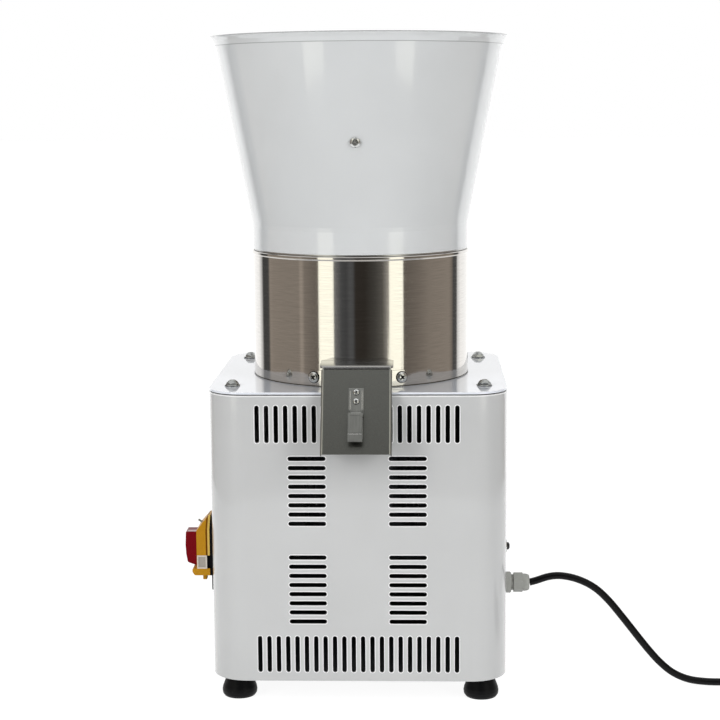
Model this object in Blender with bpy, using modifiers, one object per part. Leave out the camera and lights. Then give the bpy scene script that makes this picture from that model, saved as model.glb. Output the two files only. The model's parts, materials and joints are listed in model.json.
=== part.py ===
"""Electric grain mill: enamelled hopper, steel grinding drum and a vented motor cabinet.

Metres, +Z up. The mill faces -Y, stands on its rubber feet at z = 0, and the origin is the centre of
the floor area that it covers. Everything hangs on an empty on the axis of the drum.
"""

import math

import bmesh
import bpy
from mathutils import Matrix, Vector

# Clearances and shared values
fit = 0.0003
running_gap = 0.001
overrun = 0.004
weld = 0.00001
round_steps = 36
inner_steps = 16
small_steps = 16
foot_steps = 12
screw_steps = 8

# Cabinet
cabinet_width = 0.331
cabinet_depth = 0.310
cabinet_corner = 0.040
cabinet_sheet = 0.0015
cabinet_height = 0.323
cabinet_flange = 0.052
foot_height = 0.031
foot_inset_x = 0.0275
foot_inset_y = 0.045

# Vents in the front of the cabinet
vent_width = 0.0050
vent_length = 0.0415
vent_side_margin = 0.0558
vent_row_pitch = 0.01045
vent_columns = 22
vent_rows = 8
vent_top_centre = 0.3226
vent_bottom_centre = 0.062
vent_group_offset = 0.0555
vent_group_upper = 0.2842
vent_group_lower = 0.1728

# Top plate, base plate and their bolts
top_plate_sheet = 0.003
top_plate_round = 0.0009
base_plate_sheet = 0.002
plate_bolt_inset_x = 0.0247
plate_bolt_inset_y = 0.047
bolt_radius = 0.004
bolt_length = 0.014
bolt_head_radius = 0.0075
bolt_head_height = 0.0053
washer_radius = 0.0088
washer_height = 0.0014

# Rubber feet
foot_radius = 0.0200
foot_neck_radius = 0.0125
foot_sole_radius = 0.0175
foot_stud_radius = 0.004
foot_stud_length = 0.014
foot_nut_radius = 0.0075
foot_nut_height = 0.006

# Drum
drum_radius = 0.125
drum_sheet = 0.0015
drum_height = 0.1457
drum_bead = 0.0016
drum_bead_height = 0.004
drum_flange = 0.014

# Hopper
hopper_rim_radius = 0.171
hopper_lip_overhang = 0.0060
hopper_lip_height = 0.0105
hopper_skirt_radius = 0.1256
hopper_skirt_height = 0.027
hopper_height = 0.2405
hopper_sheet = 0.0015

# Guard in the hopper and its screws
guard_height = 0.1335
guard_sheet = 0.002
guard_skirt = 0.020
guard_slot_width = 0.018
guard_ring_pitch = 0.034
guard_hub_radius = 0.018
guard_rings = 3
guard_sectors = 4
guard_web_share = 0.16
guard_screws = 3
guard_screw_head = 0.0058
guard_screw_head_height = 0.0028
guard_screw_radius = 0.003
guard_screw_length = 0.010

# Feed plate between hopper and drum
feed_sheet = 0.0015
feed_flat_radius = 0.096
feed_inlet_radius = 0.034
feed_dish_depth = 0.014
feed_collar = 0.008

# Sieve, its seat, and what turns inside it
sieve_radius = 0.100
sieve_sheet = 0.0012
sieve_seat_height = 0.026
sieve_seat_sheet = 0.002
sieve_seat_lip = 0.005
sieve_lug_width = 0.018
sieve_lugs = 3
sieve_holes_round = 16
sieve_hole_rows = 2
sieve_hole_width = 0.010
sieve_hole_height = 0.040
hub_radius = 0.021
hub_flange_radius = 0.030
hub_base = 0.012
hub_height = 0.046
hub_step = 0.010
blade_length = 0.186
blade_width = 0.036
blade_tip_share = 0.55
blade_sheet = 0.005
blade_tooth = 0.010
sweeper_radius = 0.112
sweeper_arm = 0.016
sweeper_sheet = 0.002
sweeper_vane = 0.013
sweeper_arms = 4
nut_radius = 0.0125
nut_height = 0.010

# Motor under the top plate
motor_radius = 0.066
motor_fin = 0.008
motor_fin_count = 20
motor_fin_share = 0.42
motor_bore = 0.060
motor_body_height = 0.118
motor_flange_radius = 0.088
motor_flange_sheet = 0.010
motor_bell_height = 0.022
motor_bell_sheet = 0.006
motor_tail_height = 0.026
bearing_radius = 0.0175
bearing_height = 0.012
shaft_radius = 0.0095
shaft_journal_radius = 0.0100
shaft_core_radius = 0.0115
shaft_tail_radius = 0.007
stator_inner_radius = 0.038
stator_height = 0.070
rotor_core_height = 0.074
winding_height = 0.016
winding_share = 0.72
fan_radius = 0.050
fan_hub_radius = 0.014
fan_blades = 7
fan_blade_sheet = 0.0022
fan_height = 0.018
fan_sheet = 0.003
fan_cover_lap = 0.006
fan_cover_height = 0.052
fan_cover_sheet = 0.001
fan_cover_hub = 0.012
fan_cover_slots = 4
fan_cover_slot_share = 0.62
capacitor_radius = 0.020
capacitor_length = 0.078
capacitor_saddle = 0.010
capacitor_saddle_width = 0.024
shaft_hole_radius = 0.034

# Flour chute on the front of the drum
chute_width = 0.0742
chute_top = 0.0277
chute_throat = 0.0050
chute_drop = 0.0571
chute_reach = 0.0424
chute_sheet = 0.0015
chute_tab_angle = math.radians(25.6)
chute_tab_height = 0.0155
chute_tab_sheet = 0.0017
chute_screw_angle = math.radians(22.6)
chute_screw_height = 0.0116
chute_lip_width = 0.0800
chute_lip_overhang = 0.0025
chute_lip_corner = 0.0050
chute_lip_height = 0.0030
chute_screw_radius = 0.0025
chute_screw_head = 0.0060
chute_screw_head_height = 0.0027
chute_screw_length = 0.008
outlet_width = 0.066
outlet_base = 0.003
outlet_height = 0.022
cover_sheet = 0.0012
cover_flange = 0.0065
cover_round = 0.0011
cover_offset = 0.0012

# Bag clip on the chute cover
clip_width = 0.0163
clip_sheet = 0.0012
clip_top = 0.0252
clip_plate_length = 0.0273
clip_rivet_spacing = 0.0103
clip_rivet_margin = 0.0043
clip_rivet_radius = 0.0032
clip_rivet_height = 0.0013
clip_shank_radius = 0.0015
clip_ear_width = 0.0022
clip_knuckle_radius = 0.0024
clip_pin_radius = 0.0010
clip_pin_height = 0.0042
clip_lever_length = 0.0325
clip_lever_sheet = 0.0016
clip_step_length = 0.023
clip_step_drop = 0.0018

# Switch on the left side: o is how far a face stands out from the cabinet
switch_y = -0.072
switch_z = 0.1635
switch_plate_width = 0.050
switch_plate_height = 0.0862
switch_plate_drop = 0.0020
switch_plate_sheet = 0.0035
switch_base_width = 0.040
switch_base_reach = 0.0095
switch_base_top = 0.0250
switch_base_bottom = -0.029
switch_block_width = 0.037
switch_block_reach = 0.0150
switch_block_top = 0.020
switch_block_bottom = -0.0245
switch_cheek = 0.0026
switch_cheek_reach = 0.0187
switch_cheek_top = -0.0060
switch_hinge_reach = 0.0068
switch_hinge_height = 0.0385
switch_hinge_half = 0.0100
switch_cover_width = 0.046
switch_cover_wall = 0.0018
switch_cover_reach = 0.0212
switch_cover_top = 0.0405
switch_cover_shoulder = 0.0245
switch_hip_base = 0.0255
switch_hip_half = 0.0113
switch_cover_back = 0.0043
switch_lip_reach = 0.0265
switch_lip_top = -0.0200
switch_lip_bottom = -0.0280
switch_nub_bottom = -0.0380
switch_nub_width = 0.0046
switch_nub_reach = 0.0168
switch_window_top = -0.0045
pad_width = 0.0215
pad_top = 0.0203
pad_bottom = -0.0205
pad_reach = 0.0355
pad_back = 0.0200
pad_wall = 0.0022
pad_bow = 0.0022
pad_chamfer = 0.0056
pad_stem_radius = 0.0040
button_radius = 0.0060
button_reach = 0.0185
button_back = 0.0112
start_button_z = 0.0045
stop_button_z = -0.0110

# Reset button on the right side
reset_y = -0.072
reset_z = 0.1650
reset_body_radius = 0.0060
reset_nut_radius = 0.0082
reset_nut_height = 0.0028
reset_body_depth = 0.026
reset_case_radius = 0.0110
reset_button_radius = 0.0043
reset_button_reach = 0.0062
reset_travel = 0.0035

# Cable gland on the right side
gland_y = -0.075
gland_z = 0.1229
gland_hex_radius = 0.0126
gland_hex_height = 0.0076
gland_thread_radius = 0.0092
gland_neck_height = 0.0022
gland_nut_radius = 0.0117
gland_nut_height = 0.0110
gland_dome_height = 0.0076
gland_dome_radius = 0.0085
gland_thread_length = 0.010
gland_locknut_radius = 0.0128
gland_locknut_height = 0.005
gland_bore = 0.0050

# Power cord: its route from the end of the gland over the floor to a coil
cord_radius = 0.0042
cord_spacing = 2.0
cord_route = (
    (0.0002, 0.0000, 0.1229),
    (0.0081, 0.0000, 0.1250),
    (0.0211, 0.0000, 0.1293),
    (0.0331, 0.0000, 0.1308),
    (0.0461, 0.0000, 0.1292),
    (0.0581, 0.0000, 0.1256),
    (0.0701, 0.0000, 0.1198),
    (0.0811, 0.0000, 0.1118),
    (0.0931, 0.0000, 0.0996),
    (0.1041, 0.0000, 0.0862),
    (0.1151, 0.0000, 0.0722),
    (0.1261, 0.0000, 0.0580),
    (0.1381, 0.0000, 0.0430),
    (0.1511, 0.0000, 0.0285),
    (0.1661, 0.0000, 0.0160),
    (0.1841, 0.0000, 0.0080),
    (0.2041, 0.0000, 0.0050),
    (0.2241, 0.0000, 0.0045),
    (0.2461, 0.0000, 0.0045),
    (0.2694, 0.0000, 0.0045),
)
coil_centre_reach = 0.2781
coil_outer_radius = 0.0520
coil_turn_pitch = 0.0090
coil_layer_pitch = 0.0090
coil_turns_in = 2.0
coil_turns_climb = 0.5
coil_turns_out = 1.75
coil_points_per_turn = 24
plug_radius = 0.0185
plug_length = 0.034
plug_tail_length = 0.020
plug_tail_radius = 0.0062
plug_pin_radius = 0.0024
plug_pin_length = 0.019
plug_pin_spacing = 0.019
plug_tilt = math.radians(7.0)

# Places worked out from the sizes above
vent_pitch = (cabinet_width - 2 * vent_side_margin) / (vent_columns - 1)
plate_bolt_x = cabinet_width / 2 - plate_bolt_inset_x
plate_bolt_y = cabinet_depth / 2 - plate_bolt_inset_y
foot_x = cabinet_width / 2 - foot_inset_x
foot_y = cabinet_depth / 2 - foot_inset_y
cabinet_top = foot_height + cabinet_height
plate_top = cabinet_top + top_plate_sheet
drum_base = plate_top + fit
drum_top = drum_base + drum_height
hopper_base = drum_top + fit + feed_sheet
hopper_top = hopper_base + hopper_height
feed_base = drum_top + fit
motor_top = cabinet_top - fit
motor_body_top = motor_top - motor_flange_sheet - motor_bell_height - fit
motor_body_base = motor_body_top - motor_body_height
motor_middle = (motor_body_top + motor_body_base) / 2
tail_base = motor_body_base - fit - motor_tail_height
fan_base = tail_base - running_gap - fan_height
sieve_seat_base = drum_base + sieve_seat_height
sieve_base = sieve_seat_base + sieve_seat_sheet + fit
sieve_top = feed_base - fit
hub_foot = plate_top + hub_base
hub_top = hub_foot + hub_height
sweeper_base = hub_foot - fit - sweeper_sheet
blade_base = hub_foot + hub_height - hub_step + fit
nut_base = blade_base + blade_sheet + fit
side_x = cabinet_width / 2
front_y = -cabinet_depth / 2
switch_side = -side_x
gland_end = side_x + fit + gland_hex_height + gland_neck_height + gland_nut_height + gland_dome_height
chute_front = -front_y + chute_reach
axis_x = (side_x + pad_reach - gland_end) / 2
axis_y = (chute_front - hopper_rim_radius) / 2

white = (0.60, 0.61, 0.60)
near_white = (0.72, 0.74, 0.76)
steel = (0.55, 0.55, 0.53)
dark_steel = (0.20, 0.20, 0.19)
bright_steel = (0.70, 0.70, 0.70)
rubber_black = (0.015, 0.015, 0.016)
plastic_black = (0.02, 0.02, 0.022)
plastic_grey = (0.45, 0.44, 0.42)
plastic_yellow = (0.60, 0.30, 0.02)
plastic_red = (0.30, 0.006, 0.010)
plastic_green = (0.02, 0.25, 0.06)
cast_grey = (0.28, 0.29, 0.30)
copper = (0.45, 0.16, 0.07)
gland_grey = (0.52, 0.53, 0.50)

# An outline drawn in (u, v) is laid across x, as (y, z), or across y, as (x, z).
across_x = Matrix(((0, 0, 1, 0), (1, 0, 0, 0), (0, 1, 0, 0), (0, 0, 0, 1)))
across_y = Matrix(((1, 0, 0, 0), (0, 0, -1, 0), (0, 1, 0, 0), (0, 0, 0, 1)))
outward_left = Matrix.Rotation(-math.pi / 2, 4, "Y")
outward_right = Matrix.Rotation(math.pi / 2, 4, "Y")


def clear_scene():
    for thing in list(bpy.data.objects):
        bpy.data.objects.remove(thing, do_unlink=True)


def collection(name):
    group = bpy.data.collections.new(name)
    bpy.context.scene.collection.children.link(group)
    return group


def finish(name, colour, roughness, metallic):
    """A material with the colour, roughness and metallic value of a piece."""
    made = bpy.data.materials.new(name)
    made.use_nodes = True
    shader = made.node_tree.nodes["Principled BSDF"]
    shader.inputs["Base Color"].default_value = (*colour, 1)
    shader.inputs["Roughness"].default_value = roughness
    shader.inputs["Metallic"].default_value = metallic
    made.diffuse_color = (*colour, 1)
    return made


def empty(name, location, parent=None):
    pivot = bpy.data.objects.new(name, None)
    pivot.location = location
    pivot.parent = parent
    mill_parts.objects.link(pivot)
    return pivot


def add(name, mesh, look, parent, location=(0, 0, 0), rotation=(0, 0, 0)):
    """A piece: a mesh with its material, placed under its parent."""
    piece = bpy.data.objects.new(name, mesh)
    piece.location = location
    piece.rotation_euler = rotation
    piece.parent = parent
    mill_parts.objects.link(piece)
    if look is not None and not mesh.materials:
        mesh.materials.append(finish(name, *look))
    return piece


def turned_mesh(name, profile, steps, closed=False, frame=Matrix()):
    """The mesh of a profile of (radius, height) points turned about its axis by a Screw modifier."""
    mesh = bpy.data.meshes.new(name)
    edges = [(i, i + 1) for i in range(len(profile) - 1)]
    if closed:
        edges.append((len(profile) - 1, 0))
    mesh.from_pydata([(r, 0, z) for r, z in profile], edges, [])
    guide = bpy.data.objects.new(name, mesh)
    bpy.context.scene.collection.objects.link(guide)
    screw = guide.modifiers.new("Turned", "SCREW")
    screw.steps = steps
    screw.render_steps = steps
    screw.use_merge_vertices = True
    screw.merge_threshold = weld
    return settled(guide, frame)


def turned_sheet_mesh(name, profile, sheet, steps):
    """A profile turned about its axis and thickened inwards, as spun sheet is."""
    mesh = bpy.data.meshes.new(name)
    mesh.from_pydata([(r, 0, z) for r, z in profile], [(i, i + 1) for i in range(len(profile) - 1)], [])
    guide = bpy.data.objects.new(name, mesh)
    bpy.context.scene.collection.objects.link(guide)
    screw = guide.modifiers.new("Turned", "SCREW")
    screw.steps = steps
    screw.render_steps = steps
    screw.use_merge_vertices = True
    screw.merge_threshold = weld
    shell = guide.modifiers.new("Sheet", "SOLIDIFY")
    shell.thickness = sheet
    shell.offset = -1
    shell.use_even_offset = True
    return settled(guide, Matrix())


def settled(guide, frame):
    """The evaluated mesh of a guide object, welded and moved into its frame. The guide is removed."""
    bpy.context.view_layer.update()
    evaluated = guide.evaluated_get(bpy.context.evaluated_depsgraph_get())
    mesh = bpy.data.meshes.new_from_object(evaluated)
    mesh.name = guide.name
    work = bmesh.new()
    work.from_mesh(mesh)
    bmesh.ops.remove_doubles(work, verts=work.verts, dist=weld)
    work.transform(frame)
    bmesh.ops.recalc_face_normals(work, faces=work.faces)
    work.to_mesh(mesh)
    work.free()
    bpy.data.objects.remove(guide, do_unlink=True)
    return mesh


def outline_mesh(name, loops, thickness, frame=Matrix()):
    """A flat outline, with holes for the loops after the first, as thick as asked about its plane."""
    curve = bpy.data.curves.new(name, "CURVE")
    curve.dimensions = "2D"
    curve.fill_mode = "BOTH"
    curve.extrude = thickness / 2
    for loop in loops:
        spline = curve.splines.new("POLY")
        spline.points.add(len(loop) - 1)
        for point, (u, v) in zip(spline.points, loop):
            point.co = (u, v, 0, 1)
        spline.use_cyclic_u = True
    guide = bpy.data.objects.new(name, curve)
    bpy.context.scene.collection.objects.link(guide)
    return settled(guide, frame)


def tube_mesh(name, points, radius, resolution, frame=Matrix()):
    """A round tube along points, with its ends closed."""
    curve = bpy.data.curves.new(name, "CURVE")
    curve.dimensions = "3D"
    curve.bevel_depth = radius
    curve.bevel_resolution = resolution
    curve.use_fill_caps = True
    spline = curve.splines.new("POLY")
    spline.points.add(len(points) - 1)
    for point, place in zip(spline.points, points):
        point.co = (*place, 1)
    guide = bpy.data.objects.new(name, curve)
    bpy.context.scene.collection.objects.link(guide)
    return settled(guide, frame)


def box_mesh(name, low, high):
    """A box between two corners."""
    mesh = bpy.data.meshes.new(name)
    work = bmesh.new()
    size = [b - a for a, b in zip(low, high)]
    centre = [(a + b) / 2 for a, b in zip(low, high)]
    bmesh.ops.create_cube(work, size=1, matrix=Matrix.Translation(centre) @ Matrix.Diagonal((*size, 1)))
    work.to_mesh(mesh)
    work.free()
    return mesh


def rod_mesh(name, radius, length, steps, frame=Matrix(), base=0):
    """A cylinder from a base height upwards."""
    return turned_mesh(name, ((0, base + length), (radius, base + length), (radius, base), (0, base)),
                       steps, frame=frame)


def joined(name, meshes):
    """Several meshes in one, for a cutter that makes many cuts."""
    work = bmesh.new()
    for mesh in meshes:
        work.from_mesh(mesh)
    whole = bpy.data.meshes.new(name)
    work.to_mesh(whole)
    work.free()
    return whole


def tool(name, mesh, parent, location=(0, 0, 0), rotation=(0, 0, 0)):
    """A cutter or an added form: hidden, and only used by Boolean modifiers."""
    cutter = bpy.data.objects.new(name, mesh)
    cutter.location = location
    cutter.rotation_euler = rotation
    cutter.parent = parent
    cutter.hide_render = True
    cutter.display_type = "WIRE"
    mill_cutters.objects.link(cutter)
    return cutter


def combine(piece, operation, cutter):
    step = piece.modifiers.new(cutter.name, "BOOLEAN")
    step.operation = operation
    step.solver = "EXACT"
    step.object = cutter
    return step


def cut(piece, name, mesh, location=(0, 0, 0), rotation=(0, 0, 0)):
    return combine(piece, "DIFFERENCE", tool(name, mesh, piece.parent, location, rotation))


def join(piece, name, mesh, location=(0, 0, 0), rotation=(0, 0, 0)):
    return combine(piece, "UNION", tool(name, mesh, piece.parent, location, rotation))


def round_edges(piece, width, segments, angle=math.radians(50)):
    bevel = piece.modifiers.new("Rounded", "BEVEL")
    bevel.width = width
    bevel.segments = segments
    bevel.limit_method = "ANGLE"
    bevel.angle_limit = angle
    return bevel


def smooth(piece, angle=math.radians(35)):
    mesh = piece.data
    mesh.shade_smooth()
    mesh.set_sharp_from_angle(angle=angle)


def arc(centre, radius, start, end, count):
    """Points on an arc, both ends included."""
    turn = (end - start) / (count - 1)
    return [(centre[0] + radius * math.cos(start + turn * i),
             centre[1] + radius * math.sin(start + turn * i))
            for i in range(count)]


def rounded_rectangle(width, height, radius, count=7, centre=(0, 0)):
    points = []
    quarter = math.pi / 2
    for i, (sx, sy) in enumerate(((1, 1), (-1, 1), (-1, -1), (1, -1))):
        corner = (centre[0] + sx * (width / 2 - radius), centre[1] + sy * (height / 2 - radius))
        points += arc(corner, radius, i * quarter, (i + 1) * quarter, count)
    return points


def circle(radius, count, centre=(0, 0)):
    step = 2 * math.pi / count
    return [(centre[0] + radius * math.cos(step * i), centre[1] + radius * math.sin(step * i))
            for i in range(count)]


def stadium(length, width, centre, upright, count=3):
    """A slot with round ends, upright or level."""
    half = (length - width) / 2
    points = (arc((half, 0), width / 2, -math.pi / 2, math.pi / 2, count)
              + arc((-half, 0), width / 2, math.pi / 2, 3 * math.pi / 2, count))
    if upright:
        points = [(-v, u) for u, v in points]
    return [(centre[0] + u, centre[1] + v) for u, v in points]


def aimed(direction):
    """The rotation that turns +Z to a direction."""
    return Vector(direction).to_track_quat("Z", "Y").to_euler()


def baked(piece):
    """The piece's mesh with its modifiers applied, its cutters removed."""
    bpy.context.view_layer.update()
    cutters = [m.object for m in piece.modifiers if m.type == "BOOLEAN"]
    mesh = bpy.data.meshes.new_from_object(piece.evaluated_get(bpy.context.evaluated_depsgraph_get()))
    piece.modifiers.clear()
    piece.data = mesh
    for cutter in cutters:
        bpy.data.objects.remove(cutter, do_unlink=True)
    return mesh


def pan_head_profile(head, height, shank, length):
    """A round screw: domed head above zero, shank below."""
    return ((0, height), (0.60 * head, 0.94 * height), (head, 0.40 * height), (head, 0), (shank, 0),
            (shank, -length), (0, -length))


# Cabinet

def vent_loops():
    """The outlines of all the vents, as (x, z)."""
    loops = []
    first = -(vent_columns - 1) / 2 * vent_pitch
    for row in (vent_top_centre, vent_bottom_centre):
        loops += [stadium(vent_length, vent_width, (first + vent_pitch * i, row), True)
                  for i in range(vent_columns)]
    for side in (-1, 1):
        for top in (vent_group_upper, vent_group_lower):
            loops += [stadium(vent_length, vent_width, (side * vent_group_offset,
                                                        top - vent_row_pitch * i), False)
                      for i in range(vent_rows)]
    return loops


def make_cabinet_shell():
    """The wrapped sheet cabinet, its folded top flange, its vents and the holes in its sides."""
    height = cabinet_height - fit
    outer = rounded_rectangle(cabinet_width, cabinet_depth, cabinet_corner)
    inside_width = cabinet_width - 2 * cabinet_sheet
    inside_depth = cabinet_depth - 2 * cabinet_sheet
    inner = rounded_rectangle(inside_width, inside_depth, cabinet_corner - cabinet_sheet)
    middle = Matrix.Translation((0, 0, foot_height + height / 2))
    shell = add("cabinet_shell", outline_mesh("cabinet_shell", (outer, inner), height, middle),
                (white, 0.35, 0.0), mill)
    overlap = cabinet_sheet / 2
    flange_outer = rounded_rectangle(inside_width + overlap, inside_depth + overlap,
                                     cabinet_corner - overlap)
    flange_inner = rounded_rectangle(cabinet_width - 2 * cabinet_flange, cabinet_depth - 2 * cabinet_flange,
                                     cabinet_sheet * 6, 4)
    holes = [circle(bolt_radius + fit, screw_steps, (sx * plate_bolt_x, sy * plate_bolt_y))
             for sx in (-1, 1) for sy in (-1, 1)]
    level = Matrix.Translation((0, 0, foot_height + height - cabinet_sheet / 2))
    join(shell, "shell_flange",
         outline_mesh("shell_flange", [flange_outer, flange_inner] + holes, cabinet_sheet, level))
    depth = cabinet_sheet + 2 * overrun
    wall = Matrix.Translation((0, front_y + cabinet_sheet / 2, 0)) @ across_y
    slots = [outline_mesh("front_vents", (loop,), depth, wall) for loop in vent_loops()]
    cut(shell, "front_vents", joined("front_vents", slots))
    sides = joined("side_holes", (
        box_mesh("switch_hole",
                 (switch_side - overrun, switch_y - switch_block_width / 2, switch_z + switch_block_bottom),
                 (switch_side + overrun, switch_y + switch_block_width / 2, switch_z + switch_block_top)),
        rod_mesh("reset_hole", reset_body_radius + fit, 2 * overrun, small_steps,
                 Matrix.Translation((side_x - overrun, reset_y, reset_z)) @ outward_right),
        rod_mesh("gland_hole", gland_thread_radius + fit, 2 * overrun, small_steps,
                 Matrix.Translation((side_x - overrun, gland_y, gland_z)) @ outward_right),
    ))
    cut(shell, "side_holes", sides)
    smooth(shell)


def make_top_plate():
    """The flat top plate, with its bolt holes and the hole that the shaft comes up through."""
    loops = [rounded_rectangle(cabinet_width, cabinet_depth, cabinet_corner)]
    loops += [circle(bolt_radius + fit, screw_steps, (sx * plate_bolt_x, sy * plate_bolt_y))
              for sx in (-1, 1) for sy in (-1, 1)]
    loops.append(circle(shaft_hole_radius, small_steps))
    level = Matrix.Translation((0, 0, cabinet_top + top_plate_sheet / 2))
    plate = add("top_plate", outline_mesh("top_plate", loops, top_plate_sheet, level),
                (near_white, 0.3, 0.0), mill)
    round_edges(plate, top_plate_round, 1)
    smooth(plate)


def foot_places():
    return [(name, sx * foot_x, sy * foot_y) for name, sx, sy in (
        ("front_left", -1, -1), ("front_right", 1, -1), ("back_left", -1, 1), ("back_right", 1, 1))]


def make_base_plate():
    """The bottom of the cabinet, which lies inside the shell and carries the feet."""
    slack = 2 * (cabinet_sheet + fit)
    loops = [rounded_rectangle(cabinet_width - slack, cabinet_depth - slack, cabinet_corner - slack / 2)]
    loops += [circle(foot_stud_radius + fit, screw_steps, (x, y)) for _, x, y in foot_places()]
    level = Matrix.Translation((0, 0, foot_height + fit + base_plate_sheet / 2))
    plate = add("base_plate", outline_mesh("base_plate", loops, base_plate_sheet, level),
                (cast_grey, 0.5, 0.3), mill)
    smooth(plate)


def make_feet():
    """Four rubber feet: cones with a rounded sole, moulded on a stud with its nut."""
    profile = ((0, foot_height), (foot_neck_radius, foot_height), (foot_radius * 0.97, foot_height * 0.34),
               (foot_radius, foot_height * 0.22), (foot_radius * 0.97, foot_height * 0.08),
               (foot_sole_radius, 0), (0, 0))
    shared = None
    for name, x, y in foot_places():
        if shared is None:
            foot = add("foot_" + name, turned_mesh("foot", profile, foot_steps),
                       (rubber_black, 0.6, 0.0), mill, (x, y, 0))
            join(foot, "foot_stud", rod_mesh("foot_stud", foot_stud_radius, foot_stud_length + overrun,
                                             screw_steps, base=foot_height - overrun), (x, y, 0))
            join(foot, "foot_nut", rod_mesh("foot_nut", foot_nut_radius, foot_nut_height, 6,
                                            base=foot_height + base_plate_sheet + 2 * fit), (x, y, 0))
            shared = baked(foot)
            foot.data = shared
        else:
            foot = add("foot_" + name, shared, None, mill, (x, y, 0))
        smooth(foot)


def make_plate_bolts():
    """Four hexagon bolts with a cross recess and a washer, which hold the top plate."""
    shared = None
    for name, x, y in (("front_left", -1, -1), ("front_right", 1, -1), ("back_left", -1, 1),
                       ("back_right", 1, 1)):
        place = (x * plate_bolt_x, y * plate_bolt_y, plate_top + fit)
        if shared is None:
            seat = washer_height
            rim = bolt_head_radius * 0.86
            head = ((0, seat + bolt_head_height), (rim, seat + bolt_head_height),
                    (bolt_head_radius, seat + bolt_head_height * 0.82), (bolt_head_radius, seat * 0.5),
                    (0, seat * 0.5))
            shank = ((0, seat), (washer_radius * 0.94, seat),
                     (washer_radius, seat * 0.7), (washer_radius, 0),
                     (bolt_radius, 0), (bolt_radius, -bolt_length), (0, -bolt_length))
            bolt = add("plate_bolt_" + name, turned_mesh("bolt", shank, screw_steps),
                       (bright_steel, 0.25, 1.0), mill, place)
            join(bolt, "bolt_head", turned_mesh("bolt_head", head, 6), place)
            shared = baked(bolt)
            bolt.data = shared
        else:
            bolt = add("plate_bolt_" + name, shared, None, mill, place)
        smooth(bolt, math.radians(30))


# Drum, hopper and what they hold

def chute_screw_direction(side):
    """Outwards from the drum's axis through the left or the right screw of the chute."""
    angle = side * chute_screw_angle
    return Vector((math.sin(angle), -math.cos(angle), 0))


def make_drum():
    """The steel drum: a beaded rim, a plain wall with the outlet, and a foot turned inwards."""
    top = drum_top
    bead = drum_bead
    profile = ((drum_radius - bead, top), (drum_radius + bead * 0.8, top - bead * 0.3),
               (drum_radius + bead, top - drum_bead_height / 2), (drum_radius, top - drum_bead_height),
               (drum_radius, drum_base), (drum_radius - drum_flange, drum_base))
    drum = add("drum", turned_sheet_mesh("drum", profile, drum_sheet, round_steps), (steel, 0.22, 1.0), mill)
    cut(drum, "drum_outlet", box_mesh("drum_outlet",
        (-outlet_width / 2, -drum_radius - overrun, drum_base + outlet_base),
        (outlet_width / 2, -drum_radius * 0.8, drum_base + outlet_base + outlet_height)))
    for side in (-1, 1):
        direction = chute_screw_direction(side)
        place = direction * (drum_radius - overrun) + Vector((0, 0, drum_base + chute_screw_height))
        cut(drum, "drum_screw_hole", rod_mesh("drum_screw_hole", chute_screw_radius + fit, 2 * overrun, 8),
            place, aimed(direction))
    smooth(drum)


def hopper_profile():
    """The outer side of the hopper from its flared lip down the cone to its straight skirt."""
    wall = hopper_rim_radius - hopper_lip_overhang
    lip = hopper_lip_overhang
    tall = hopper_lip_height
    top = hopper_top
    return ((hopper_rim_radius - lip * 0.10, top), (hopper_rim_radius, top - tall * 0.12),
            (wall + lip * 0.50, top - tall * 0.52), (wall + lip * 0.06, top - tall),
            (hopper_skirt_radius + lip * 0.08, hopper_base + hopper_skirt_height + lip * 0.4),
            (hopper_skirt_radius, hopper_base + hopper_skirt_height - lip * 0.4),
            (hopper_skirt_radius, hopper_base + fit))


def hopper_radius(z):
    """The outer radius of the hopper's cone at a height."""
    low = hopper_base + hopper_skirt_height
    high = hopper_top - hopper_lip_height
    share = (z - low) / (high - low)
    return hopper_skirt_radius + share * (hopper_rim_radius - hopper_lip_overhang - hopper_skirt_radius)


def guard_screw_places():
    """Each screw's name, place on the cone and direction outwards. The first faces the front."""
    z = hopper_base + guard_height - guard_skirt / 2
    slope = (hopper_radius(z + guard_skirt) - hopper_radius(z)) / guard_skirt
    places = []
    for i in range(guard_screws):
        angle = -math.pi / 2 + 2 * math.pi * i / guard_screws
        around = Vector((math.cos(angle), math.sin(angle), 0))
        direction = (around - Vector((0, 0, slope))).normalized()
        places.append((i, around * hopper_radius(z) + Vector((0, 0, z)), direction))
    return places


def make_hopper():
    hopper = add("hopper", turned_sheet_mesh("hopper", hopper_profile(), hopper_sheet, round_steps),
                 (white, 0.12, 0.0), mill)
    for i, place, direction in guard_screw_places():
        hole = rod_mesh("hopper_hole", guard_screw_radius + fit, 2 * overrun, 8)
        cut(hopper, "hopper_hole", hole, place - direction * overrun, aimed(direction))
    smooth(hopper)


def guard_loops(radius):
    """The rim of the guard and its rings of curved slots."""
    loops = [circle(radius, round_steps)]
    for ring in range(guard_rings):
        middle = guard_hub_radius + guard_slot_width / 2 + ring * guard_ring_pitch
        low = middle - guard_slot_width / 2
        high = middle + guard_slot_width / 2
        sector = 2 * math.pi / guard_sectors
        web = sector * guard_web_share * (guard_hub_radius + guard_slot_width) / middle
        count = 2 + ring
        for i in range(guard_sectors):
            start = sector * i + web / 2 + sector / 2 * (ring % 2)
            end = sector * (i + 1) - web / 2 + sector / 2 * (ring % 2)
            loops.append(arc((0, 0), high, start, end, count) + arc((0, 0), low, end, start, count))
    return loops


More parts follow.
